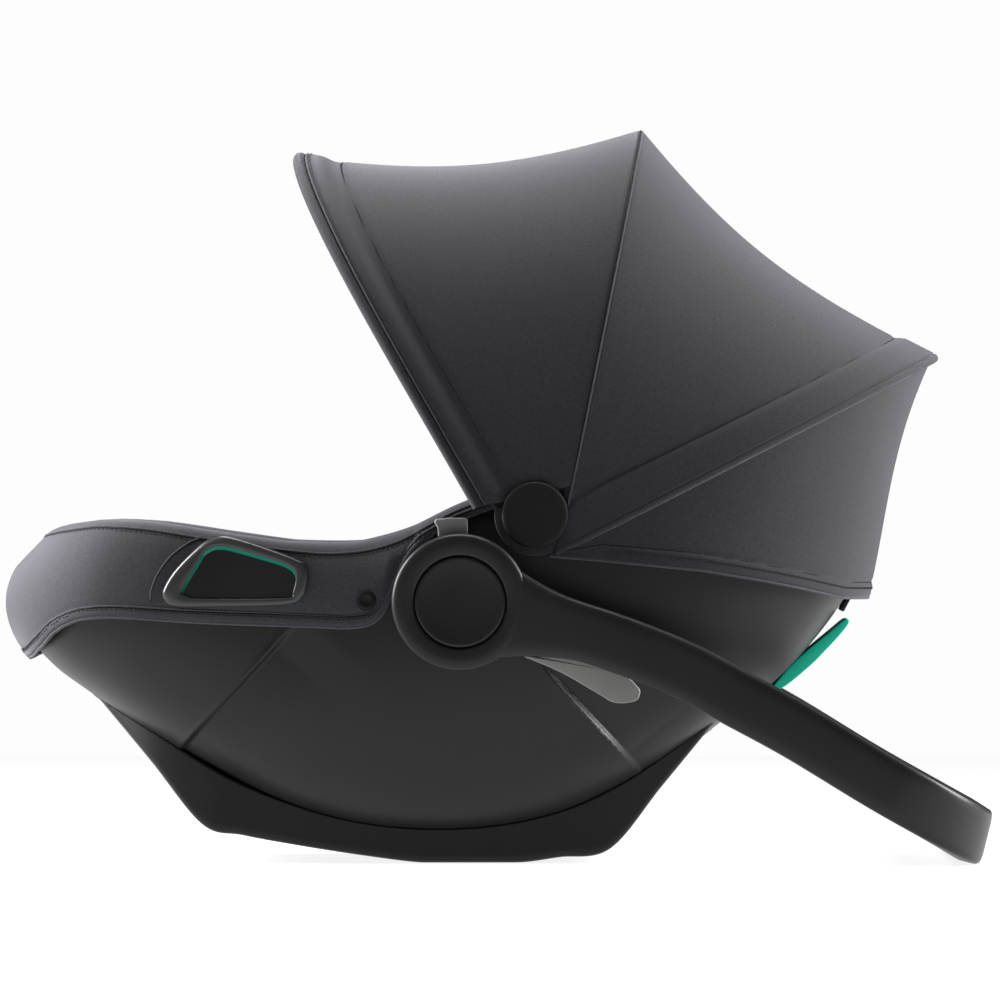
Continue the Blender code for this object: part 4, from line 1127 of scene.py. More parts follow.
@dataclass
class ShellAndBase(Assembly):
    """Injection-moulded tub with two styling creases a side, on a hollow rocker base."""

    shapes: TubShapes = field(default_factory=TubShapes)
    wall: float = 3.0 * MM
    creases: Sequence[tuple[tuple[float, float], tuple[float, float]]] = (
        ((-0.1530, 0.1850), (-0.2440, 0.0870)), ((0.0340, 0.1530), (0.1070, 0.0740)))
    crease_depth: float = 4.6 * MM
    crease_width: float = 2.2 * MM
    base_stations: Table = (
        (-0.3150, 0.1300, 0.050), (-0.2700, 0.0780, 0.085), (-0.2295, 0.0290, 0.100),
        (-0.1980, 0.0207, 0.104), (-0.1520, 0.0125, 0.108), (-0.1060, 0.0055, 0.110),
        (-0.0600, 0.0000, 0.112), (-0.0200, 0.0000, 0.112), (0.0150, 0.0000, 0.111),
        (0.0455, 0.0040, 0.110), (0.0850, 0.0105, 0.106), (0.1250, 0.0585, 0.098),
        (0.1646, 0.1063, 0.088))
    base_corner: float = 5.0 * MM
    bay: tuple[float, float, float] = (-0.121, 0.049, 0.060)  # front x, rear x, half-width
    _line: np.ndarray = field(init=False, repr=False)

    def crease_shift(self, point: Vector) -> float:
        """How far a point of the shell moves in where a crease steps the surface.

        Args:
            point: A point of the shell.

        Returns:
            The distance.
        """
        total = 0.0
        for start, end in self.creases:
            a, b = Vector(start), Vector(end)
            along = b - a
            reach = (Vector((point.x, point.z)) - a).dot(along) / along.length_squared
            normal = Vector((-along.y, along.x)).normalized()
            off = (Vector((point.x, point.z)) - a).dot(normal)
            fade = max(0.0, min(1.0, (reach + 0.05) * 4)) * max(0.0, min(1.0, (1.06 - reach) * 7))
            groove = math.exp(-(off / self.crease_width) ** 2)
            step = 0.5 + 0.5 * math.tanh(off / self.crease_width)
            blend = math.exp(-(max(0.0, off) / 0.060) ** 2)
            lip = math.exp(-((off + 2.6 * MM) / self.crease_width) ** 2)
            total += fade * self.crease_depth * (0.40 * groove + step * blend - 0.25 * lip)
        return total

    def cut_creases(self, bm: BMesh) -> None:
        """Cut the sheet along each crease, so that its step has edges of its own.

        Args:
            bm: The shell's sheet.
        """
        for start, end in self.creases:
            a, b = Vector(start), Vector(end)
            normal = Vector((a.y - b.y, b.x - a.x)).normalized()
            for off in (-6.0, -3.6, -2.0, -0.8, 0.4, 1.6, 3.4, 6.0):
                near = []
                for face in bm.faces:
                    center = face.calc_center_median()
                    flat = Vector((center.x, center.z)) - a
                    reach = flat.dot(b - a) / (b - a).length_squared
                    if abs(flat.dot(normal)) < 16 * MM and -0.25 < reach < 1.2 and abs(center.y) > 0.06:
                        near.append(face)
                edges = list({e for face in near for e in face.edges})
                verts = list({v for face in near for v in face.verts})
                place = a + normal * off * MM
                bmesh.ops.bisect_plane(bm, geom=verts + edges + near, dist=1e-6,
                                       plane_co=(place.x, 0.0, place.y),
                                       plane_no=(normal.x, 0.0, normal.y))

    def make_shell(self) -> None:
        """Loft the tub, press its creases and give it a wall."""
        bm = self.shapes.tub.sheet(210, 84)
        self.cut_creases(bm)
        bm.normal_update()
        shifts = [vert.normal * -self.crease_shift(vert.co)
                  if abs(vert.normal.y) > 0.25 else None for vert in bm.verts]
        for vert, shift in zip(bm.verts, shifts):
            if shift is not None:
                vert.co += shift
        self.piece("seat_shell_made", bm, self.finishes.shell, "shell_plastic", "seat",
                   ("seat_shell",), wall=self.wall)

    def base_point(self, u: float, v: float) -> Vector:
        """Point of the base: u runs along it, v from one top edge under the floor to the other.

        Args:
            u: Share of the length from the foot end.
            v: Share of the way across, over the left wall first.

        Returns:
            The point.
        """
        at, index = u * (LINE_SAMPLES - 1), np.arange(LINE_SAMPLES)
        x, z, half = (float(np.interp(at, index, column)) for column in self._line.T)
        z = max(z, 0.0)
        sign = -1.0 if v < 0.5 else 1.0
        share = abs(v - 0.5) * 2
        corner = self.base_corner
        if share < 0.5:
            across, low = share / 0.5 * (half - corner), z
        elif share < 0.62:
            turn = (share - 0.5) / 0.12 * math.pi / 2
            across = half - corner + corner * math.sin(turn)
            low = z + corner * (1 - math.cos(turn))
        else:
            climb = (share - 0.62) / 0.38
            top = self.under_tub(x, half)
            across, low = half, z + corner + max(0.0, top - z - corner) * climb
        low = min(low, self.under_tub(x, across))
        return Vector((x, sign * across, low))

    def under_tub(self, x: float, across: float) -> float:
        """Height of the tub's outside over a point of the base, less a hairline gap."""
        hit, _, _, _ = self.shapes.tub.tree.ray_cast(Vector((x, -across, -0.1)), Vector((0, 0, 1)))
        return (hit.z if hit else 0.2) - 0.4 * MM

    def make_base(self) -> None:
        """Shape the rocker base as a thin-walled trough, cut its latch bay and thicken it."""
        self._line = even_points(smooth_curve(self.base_stations), LINE_SAMPLES)
        bm = grid_sheet(150, 84, self.base_point, 0.52, 0.4)
        front, rear, half = self.bay
        for place, across in (((front, 0, 0), (1, 0, 0)), ((rear, 0, 0), (1, 0, 0)),
                              ((0, -half, 0), (0, 1, 0)), ((0, half, 0), (0, 1, 0))):
            bmesh.ops.bisect_plane(bm, geom=bm.verts[:] + bm.edges[:] + bm.faces[:],
                                   plane_co=place, plane_no=across)
        inside = []
        for face in bm.faces:
            center = face.calc_center_median()
            if front < center.x < rear and abs(center.y) < half and center.z < 0.02:
                inside.append(face)
        bmesh.ops.delete(bm, geom=inside, context="FACES")
        bmesh.ops.remove_doubles(bm, verts=bm.verts, dist=1e-5)
        look_down(bm)
        self.piece("rocker_base_made", bm, self.finishes.base, "base_plastic", "seat",
                   ("rocker_base",), wall=self.wall)

    def make(self) -> None:
        """Make the shell, the base and their steel bars."""
        self.make_shell()
        self.make_base()
        for node in ("latch_bar_front", "latch_bar_rear", "harness_yoke"):
            self.dress_node(node, self.finishes.steel)


@dataclass
class BeltFittings(Assembly):
    """Belt guides with their green lining, cover studs, the shoulder-belt hook and the rear clip."""

    shapes: TubShapes = field(default_factory=TubShapes)
    guide: Table = (
        (-0.2575, 0.2102), (-0.2483, 0.2255), (-0.2292, 0.2446), (-0.2177, 0.2505),
        (-0.2078, 0.2515), (-0.1834, 0.2446), (-0.1528, 0.2332), (-0.1459, 0.2270),
        (-0.1467, 0.2140), (-0.1505, 0.2049), (-0.1643, 0.1988), (-0.2292, 0.1972),
        (-0.2506, 0.1980), (-0.2567, 0.2026))
    recess: Table = (
        (-0.2429, 0.2105), (-0.2307, 0.2318), (-0.2246, 0.2409), (-0.2117, 0.2440),
        (-0.1828, 0.2364), (-0.1622, 0.2295), (-0.1553, 0.2219), (-0.1576, 0.2089),
        (-0.1637, 0.2040), (-0.2285, 0.2035), (-0.2391, 0.2051))
    guide_height: float = 10.5 * MM
    stud: tuple[float, float, float] = (-0.102, 0.202, 0.0076)  # x, z, radius
    hook: Table = (
        (0.2085, 0.1290), (0.2214, 0.1342), (0.2408, 0.1500), (0.2524, 0.1615),
        (0.2640, 0.1740), (0.2712, 0.1835), (0.2700, 0.1868), (0.2665, 0.1852),
        (0.2560, 0.1765), (0.2450, 0.1675), (0.2350, 0.1590), (0.2230, 0.1470))

    def skin_ring(self, rings: Sequence[tuple[Sequence[tuple[float, float]], float]],
                  closed: bool = True) -> BMesh:
        """Loft closed outlines laid on the tub's side at their heights.

        Args:
            rings: Each outline with its height off the tub.
            closed: Whether the last outline joins the first, and otherwise both are filled.

        Returns:
            The loft, with its faces pointing out.
        """
        bm = bmesh.new()
        loops = []
        for outline, height in rings:
            verts = [bm.verts.new(self.shapes.side(x, z, height)) for x, z in outline]
            loops.append([bm.edges.new((a, b)) for a, b in zip(verts, verts[1:] + verts[:1])])
        for first, second in zip(loops, loops[1:] + loops[:1] if closed else loops[1:]):
            bmesh.ops.bridge_loops(bm, edges=first + second)
        return close_up(bm, 1e-7)

    def scaled(self, outline: Sequence[tuple[float, float]], inset: float,
               shift: tuple[float, float] = (0.0, 0.0)) -> list[tuple[float, float]]:
        """Draw an outline in by a distance towards its middle, and shift it.

        Args:
            outline: The outline.
            inset: How far its widest points move in.
            shift: How far it moves along x and z.

        Returns:
            The new outline.
        """
        x0 = sum(p[0] for p in outline) / len(outline)
        z0 = sum(p[1] for p in outline) / len(outline)
        wide = max(abs(p[0] - x0) for p in outline)
        high = max(abs(p[1] - z0) for p in outline)
        return [(x0 + (x - x0) * (1 - inset / wide) + shift[0],
                 z0 + (z - z0) * (1 - inset / high) + shift[1]) for x, z in outline]

    def make_guides(self) -> None:
        """Make the bezels, their recess floors and the green inner walls."""
        count = 96
        outer = closed_outline(self.guide, count)
        inner = closed_outline(self.recess, count)
        h = self.guide_height
        section = [(0.0, -0.5), (0.0, 1.2), (0.5, 3.2), (1.8, 4.6), (3.6, 5.2)]
        rings = [(self.scaled(outer, inset * MM), h + rise * MM) for inset, rise in section]
        lip = [(-1.2, 5.3), (0.0, 4.9), (0.4, 4.3), (0.5, 1.0), (0.5, -0.5)]
        rings += [(self.scaled(inner, inset * MM), h + rise * MM) for inset, rise in lip]
        self.pair("belt_guide", self.skin_ring(rings), self.finishes.bezel, "trim_plastic", "seat",
                  sharp=60.0)
        foot = self.scaled(inner, 1.1 * MM, (0.5 * MM, -2.1 * MM))
        wall = [(self.scaled(inner, -0.2 * MM), h + 3.6 * MM), (foot, h + 1.5 * MM),
                (foot, h + 0.5 * MM), (self.scaled(inner, -1.6 * MM), h + 2.8 * MM)]
        # The green wall wears the darker green: painted shade inside the recess.
        self.pair("belt_guide_lining", self.skin_ring(wall), self.finishes.shaded_lining_green, "green_plastic",
                  "seat", sharp=60.0)
        under = self.scaled(foot, -0.5 * MM)
        pan = [(under, h + 0.2 * MM)]
        pan += [(self.scaled(under, inset * MM), h + 1.45 * MM) for inset in (0.0, 4.0, 10.0, 18.0)]
        self.pair("belt_guide_floor", self.skin_ring(pan, closed=False), self.finishes.trim,
                  "trim_plastic", "seat", replaces=False, sharp=50.0)

    def make(self) -> None:
        """Make every fitting on the tub."""
        self.make_guides()
        x, z, radius = self.stud
        seat = -self.shapes.side(x, z, 0.0036).y
        profile = [(0, seat), (radius, seat), (radius, seat + 1.2 * MM),
                   (radius - 0.6 * MM, seat + 2.2 * MM), (radius * 0.62, seat + 2.6 * MM),
                   (radius * 0.5, seat + 2.0 * MM), (0, seat + 1.9 * MM)]
        self.pair("cover_stud", turned(profile, x, z, 40), self.finishes.cap, "trim_plastic", "seat")
        outline = closed_outline(self.hook, 80)
        blade = plate(outline, -0.030, 0.030, 0.8 * MM)
        bmesh.ops.bevel(blade, geom=[e for e in blade.edges if e.calc_length() > 0.02
                                     and all(v.co.y > 0.0295 for v in e.verts)],
                        offset=0.4 * MM, segments=1, profile=0.5, material=-1, affect="EDGES")
        self.piece("shoulder_belt_hook_made", blade, self.finishes.green, "green_plastic", "seat",
                   ("shoulder_belt_hook",))
        clip = block((0.2690, 0.0, 0.1990), (0.014, 0.040, 0.004), math.radians(62.0), 1.2 * MM)
        self.piece("cover_hook_rear_made", clip, self.finishes.trim, "trim_plastic", "seat",
                   ("cover_hook_rear",))


# ---------- cover and foam

@dataclass
class SeatCover(Assembly):
    """Padded jersey cover stretched over the rim and down into the bowl, on a foam liner."""

    shapes: TubShapes = field(default_factory=TubShapes)
    columns: int = 220
    crown: float = 11.5 * MM
    thickness: float = 2.2 * MM
    hem: Table = (
        (-0.400, 0.150), (-0.357, 0.163), (-0.330, 0.184), (-0.300, 0.191), (-0.226, 0.186),
        (-0.149, 0.183), (-0.111, 0.182), (-0.093, 0.188), (-0.085, 0.201), (-0.077, 0.220),
        (-0.062, 0.242), (-0.033, 0.266), (0.000, 0.276), (0.060, 0.285), (0.135, 0.284),
        (0.200, 0.274), (0.260, 0.262), (0.300, 0.250))
    arc_seam: Table = (
        (-0.2665, 0.2029), (-0.2658, 0.2105), (-0.2612, 0.2219), (-0.2513, 0.2356),
        (-0.2384, 0.2455), (-0.2285, 0.2508))
    hem_seam_gap: float = 9.0 * MM
    outside_rows: int = 26
    crown_rows: int = 20
    bowl_rows: int = 60
    _points: list[list[Vector]] = field(init=False, repr=False)

    def offset(self, x: float) -> float:
        """Distance from the tub to the middle of the cover, which is padded at both ends."""
        return float(np.interp(x, [-0.30, -0.20, -0.10, 0.14, 0.22],
                               [0.0095, 0.0060, 0.0018, 0.0018, 0.0040]))

    def hem_elevation(self, heading: float, top: float) -> float:
        """Elevation where the tub's surface reaches the hem line.

        Args:
            heading: Angle round the seat.
            top: Elevation of the rim there.

        Returns:
            The elevation.
        """
        hem_x, hem_z = smooth_curve(self.hem, 200).T
        low, high = -1.2, top
        for _ in range(22):
            middle = (low + high) / 2
            point = self.shapes.seen(self.shapes.tub, heading, middle, 0.0)
            if point.z > np.interp(point.x, hem_x, hem_z):
                high = middle
            else:
                low = middle
        return high

    def columns_of_points(self) -> list[list[Vector]]:
        """Points of every column: outside from the hem up, over the crown, down to the bowl's floor.

        Returns:
            One list of points for each column.
        """
        shapes = self.shapes
        found = []
        for heading, elevation, rim in shapes.rim(self.columns + 1):
            top = elevation - 0.012
            hem = min(self.hem_elevation(heading, top), top - 0.01)
            outside = [shapes.seen(shapes.tub, heading, hem + (top - hem) * f, self.offset(rim.x))
                       for f in np.linspace(0.0, 1.0, self.outside_rows)]
            self.pad_outside(outside)
            brim = shapes.bowl_rim(heading) - 0.012
            inside = [shapes.seen(shapes.bowl, heading, brim + (-math.pi / 2 + 1e-4 - brim) * f, 0.0)
                      for f in np.linspace(0.0, 1.0, self.bowl_rows)]
            start, across = outside[-1], inside[0] - outside[-1]
            arch = []
            for f in np.linspace(0.0, 1.0, self.crown_rows + 2)[1:-1]:
                rise = max(0.0, 1 - abs(2 * f - 1) ** 2.6) ** 0.55
                arch.append(start + across * float(f) + Vector((0, 0, self.crown * float(rise))))
            column = self.eased(outside + arch + inside)
            if min(heading, math.pi - heading) < 1e-6:
                for point in column:
                    point.y = 0.0
            found.append(column)
        return found

    def eased(self, column: list[Vector]) -> list[Vector]:
        """Smooth a column where its outside turns over into the crown and down into the bowl.

        Args:
            column: A column's points.

        Returns:
            The same column, smoothed.
        """
        edge = self.outside_rows
        for _ in range(8):
            before = [p.copy() for p in column]
            for i in range(edge - 5, edge + self.crown_rows + 5):
                column[i] = before[i] * 0.5 + (before[i - 1] + before[i + 1]) * 0.25
        return column

    def pad_outside(self, outside: list[Vector]) -> None:
        """Crown the padding between the hem seam and the rim seam, and draw it in at the seams.

        Args:
            outside: The column's points from the hem to the rim, which are moved.
        """
        line = np.array(outside)
        length = lengths_along(line)
        total = float(length[-1])
        for point, at in zip(outside, length):
            away = Vector((point.x + 0.03, point.y, 0.0)).normalized()
            dip = -0.8 * MM * math.exp(-((at - self.hem_seam_gap) / (1.6 * MM)) ** 2)
            dip -= 0.5 * MM * math.exp(-((total - at) / (2.5 * MM)) ** 2)
            share = max(0.0, min(1.0, (at - self.hem_seam_gap) / max(total - self.hem_seam_gap, 1e-4)))
            swell = 1.4 * MM * math.sin(math.pi * share) if total > 0.03 else 0.0
            roll = 1.0 * MM * math.sin(math.pi * min(1.0, at / self.hem_seam_gap))
            point += away * (dip + swell + roll)

    def make_cover(self) -> Object:
        """Make the cover sheet over the rim and into the bowl.

        Returns:
            The cover.
        """
        points = self.columns_of_points()
        rows = len(points[0]) - 1
        self._points = points

        def place(u: float, v: float) -> Vector:
            """Point of the sheet at u and v."""
            return points[round(u * self.columns)][round(v * rows)].copy()

        bm = mirror_over(grid_sheet(self.columns, rows, place, 0.95, 0.42), bottom_up=True)
        cover = self.piece("seat_cover_made", bm, self.finishes.cover, "cover_fabric", "seat",
                           ("seat_cover",), wall=self.thickness, wall_offset=0.0, sharp=180.0)
        return cover

    def along(self, row: Callable[[list[Vector]], Vector], first: int = 0,
              last: Optional[int] = None) -> list[Vector]:
        """A line round the cover: one point for each column, on both sides of the seat.

        Args:
            row: Picks the point in a column.
            first: First column.
            last: Column after the last, or None for all.

        Returns:
            The line.
        """
        left = [row(column) for column in self._points[first:last]]
        right = [Vector((p.x, -p.y, p.z)) for p in left]
        if first == 0 and last is None:
            return left + right[::-1][1:-1]
        return right[::-1] + left[1:] if first == 0 else left

    def at_length(self, column: list[Vector], distance: float) -> Vector:
        """Point of a column at a distance above its hem.

        Args:
            column: A column's points.
            distance: Distance above the hem.

        Returns:
            The point.
        """
        outside = np.array(column[:self.outside_rows])
        length = lengths_along(outside)
        return Vector([float(np.interp(distance, length, c)) for c in outside.T])

    def make_seams(self, cover: Object) -> None:
        """Add the rolled hem, the piped seams and their stitches.

        Args:
            cover: The cover that they lie on.
        """
        tree = tree_of(cover)
        shift = SEAT_SHIFT
        half = self.thickness / 2
        rolled = self.along(lambda c: c[0])
        # Lighter piping cloth on the hem roll and piped seams is painted highlight; the seam shadow cords
        # in the near-black gap cloth are painted shade under each piped seam.
        lines = [("cover_hem_roll", [rolled], 1.5 * MM, self.finishes.piping, True, 2)]
        foot_last = int(self.columns * 0.56)
        rim = self.along(lambda c: c[self.outside_rows + 1], 0, foot_last)
        hem = self.along(lambda c: self.at_length(c, self.hem_seam_gap), 0, foot_last)
        arc = [self.shapes.side(x, z, 0.006) for x, z in even_points(smooth_curve(self.arc_seam), 40)]
        arcs = [arc, [Vector((p.x, -p.y, p.z)) for p in arc]]
        for name, drop, lift, radius, material in (
                ("cover_seam_piping", 0.0, 0.15 * MM, 0.75 * MM, self.finishes.piping),
                ("cover_seam_shadow", 1.5 * MM, 0.02 * MM, 0.45 * MM, self.finishes.gap)):
            seams = []
            for line in (rim, hem, *arcs):
                lower = [p + Vector((0, 0, -drop)) + shift for p in line]
                laid, _ = on_surface(tree, lower, half + lift)
                seams.append([p - shift for p in laid])
            lines.append((name, seams, radius, material, False, 1))
        for name, paths, radius, material, cyclic, roundness in lines:
            self.piece(name, line_mesh(paths, radius, roundness, cyclic), material, "cover_fabric",
                       "seat", sharp=80.0)
        stitched = []
        for line, drop in ((hem, 2.8 * MM), (rim, 3.0 * MM)):
            lower = [p + Vector((0, 0, -drop)) + shift for p in line]
            laid, normals = on_surface(tree, lower, half + 0.1 * MM)
            stitched += dashes([p - shift for p in laid], normals)
        self.piece("cover_stitches", line_mesh(stitched, 0.35 * MM, 0), self.finishes.thread,
                   "cover_fabric", "seat", sharp=80.0)

    def make_liner(self) -> None:
        """Make the moulded foam bowl under the cover."""
        shapes = self.shapes
        headings = [place[0] for place in shapes.rim(101)]

        def place(u: float, v: float) -> Vector:
            """Point of the sheet at u and v."""
            heading = headings[round(u * 100)]
            top = shapes.bowl_rim(heading) - 0.027
            low = -math.pi / 2 + 1e-4
            return shapes.seen(shapes.bowl, heading, low + (top - low) * v, 10.0 * MM)

        bm = mirror_over(grid_sheet(100, 40, place, 0.9, 0.3), bottom_up=True)
        liner = self.piece("seat_liner_made", bm, self.finishes.foam, "liner_foam", "seat",
                           ("seat_liner",), wall=9.0 * MM, wall_offset=0.0)

    def make(self) -> None:
        """Make the cover, its seams and the liner."""
        cover = self.make_cover()
        self.make_seams(cover)
        self.make_liner()


# ---------- handle

@dataclass
class CarryHandle(Assembly):
    """Moulded U-shaped handle on two round hubs, with release buttons and adapter levers."""

    hub: tuple[float, float] = (-0.0304, 0.2016)
    hub_radius: float = 52.0 * MM
    arm_y: float = 0.2095
    thickness: float = 22.0 * MM
    width: float = 44.0 * MM
    line: Table = (
        (-0.0304, 0.2016), (0.0304, 0.1862), (0.0760, 0.1745), (0.1369, 0.1510),
        (0.1825, 0.1269), (0.2282, 0.1020), (0.2890, 0.0650), (0.3355, 0.0385),
        (0.3632, 0.0226))
    corner: float = 0.075
    corner_width: float = 0.080
    twist: float = math.radians(16.0)
    button: Table = ((-0.0470, 0.2512), (-0.0475, 0.2575), (-0.0502, 0.2622), (-0.0488, 0.2645),
                     (-0.0400, 0.2655), (-0.0268, 0.2656), (-0.0245, 0.2640), (-0.0245, 0.2512))
    lever: Table = (
        (0.0129, 0.1625), (0.0305, 0.1633), (0.0533, 0.1617), (0.0762, 0.1549),
        (0.0952, 0.1457), (0.1058, 0.1358), (0.1066, 0.1320), (0.1043, 0.1267),
        (0.0952, 0.1244), (0.0853, 0.1252), (0.0762, 0.1305), (0.0457, 0.1480),
        (0.0168, 0.1602))

    def make_bar(self) -> None:
        """Sweep the handle from hub to hub round the crossbar."""
        line = smooth_curve(self.line)
        length = lengths_along(line)
        total = float(length[-1])

        def side_view(s: float) -> tuple[float, float]:
            """The x and z at a length along the handle."""
            return (float(np.interp(s, length, line[:, 0])), float(np.interp(s, length, line[:, 1])))

        half = [(s, self.arm_y, 0.0) for s in np.linspace(0.040, total - self.corner, 60)]
        for alpha in np.linspace(0.0, math.pi / 2, 28)[1:]:
            half.append((total - self.corner * (1 - math.sin(alpha)),
                         self.arm_y - self.corner_width * (1 - math.cos(alpha)),
                         self.twist * math.sin(alpha) ** 2))
        crossbar = self.arm_y - self.corner_width
        half += [(total, y, self.twist) for y in np.linspace(crossbar, 0.0, 16)[1:-1]]
        both = [(s, -y, t) for s, y, t in half] + [(total, 0.0, self.twist)] + half[::-1]
        points, sides, sizes = [], [], []
        for s, y, twist in both:
            x, z = side_view(float(s))
            ahead = np.subtract(side_view(s + 0.004), side_view(s - 0.004))
            angle = math.atan2(ahead[1], ahead[0]) + math.pi / 2 + twist
            points.append(Vector((x, float(y), z)))
            sides.append(Vector((math.cos(angle), 0.0, math.sin(angle))))
            widen = 0.024 * max(0.0, (0.105 - s) / 0.065) ** 2
            sizes.append((self.width + float(widen), self.thickness))
        normals = [side.cross(ahead).normalized() for side, ahead in zip(sides, aheads(points))]
        bar = swept(points, sides, normals, sizes, 48, 5.5)
        inner, outer = self.arm_y - self.thickness / 2, self.arm_y + self.thickness / 2
        r = self.hub_radius
        profile = [(0.0300, inner), (r - 3 * MM, inner), (r - 1 * MM, inner + 0.8 * MM),
                   (r, inner + 2.5 * MM), (r, outer - 4.0 * MM), (r - 0.5 * MM, outer - 2.2 * MM),
                   (r - 1.6 * MM, outer - 0.9 * MM), (r - 3.4 * MM, outer - 0.1 * MM),
                   (r - 8.0 * MM, outer + 0.1 * MM), (0.0372, outer - 0.1 * MM),
                   (0.0362, outer - 0.4 * MM), (0.0354, outer - 1.3 * MM), (0.0352, 0.2110),
                   (0.0130, 0.2110), (0.0130, 0.2066), (0.0300, 0.2066)]
        join_pair(bar, turned(profile, *self.hub, 128))
        self.piece("handle_frame_made", bar, self.finishes.handle, "handle_plastic", "handle",
                   ("handle_frame",), sharp=38.0)

    def make_caps(self) -> None:
        """Make the plain dished discs on the hubs."""
        profile = [(0, 0.2165), (0.0345, 0.2165), (0.0345, 0.2192), (0.0341, 0.2200),
                   (0.0332, 0.2204), (0.0322, 0.2204), (0.0300, 0.2201), (0.0150, 0.2196),
                   (0, 0.2195)]
        self.pair("hub_cap", turned(profile, *self.hub, 112), self.finishes.disc,
                  "handle_plastic", "handle")

    def make_controls(self) -> None:
        """Make the release buttons and the adapter levers."""
        button = plate(self.button, 0.1856, 0.1968, 1.3 * MM)
        self.pair("handle_button", button, self.finishes.grey, "grey_plastic", "handle_button_{}")
        lever = plate(closed_outline(self.lever, 120), 0.1860, 0.1955, 1.3 * MM)
        self.pair("travel_lever", lever, self.finishes.grey, "grey_plastic", "travel_lever_{}")

    def make(self) -> None:
        """Make the handle and dress what is kept inside its hubs."""
        self.make_bar()
        self.make_caps()
        self.make_controls()
        for side in Side:
            self.dress_node(f"hub_socket_{side.word}", self.finishes.handle)
            self.dress_node(f"hub_screw_{side.word}", self.finishes.steel)
            self.dress_node(f"adapter_pawl_{side.word}", self.finishes.steel)
            self.dress_node(f"lock_gear_{side.word}", self.finishes.grey)


# ---------- canopy

@dataclass
class Arch:
    """A seam line of the canopy: a superellipse arch in a plane across the seat."""

    start: tuple[float, float]
    end: tuple[float, float]
    half_width: float
    exponent: float = 2.35
    heights: Optional[Table] = None  # (x, z) line that the arch drops to, in place of its plane
    bow: float = 0.0  # how far both shoulders of the arch stand forward of its plane

    def at(self, phi: float) -> Vector:
        """Point at an angle from the left foot (0) over the top (90 degrees) to the right foot.

        Args:
            phi: The angle.

        Returns:
            The point.
        """
        rise = max(0.0, math.sin(phi)) ** (2 / self.exponent)
        across = math.copysign(abs(math.cos(phi)) ** (2 / self.exponent), math.cos(phi))
        x = self.start[0] + (self.end[0] - self.start[0]) * rise
        z = self.start[1] + (self.end[1] - self.start[1]) * rise
        if self.heights:
            z = float(np.interp(x, [h[0] for h in self.heights], [h[1] for h in self.heights]))
        lean = Vector((self.start[1] - self.end[1], self.end[0] - self.start[0])).normalized()
        forward = self.bow * abs(math.sin(2 * phi))
        return Vector((x + lean.x * forward, -self.half_width * across, z + lean.y * forward))


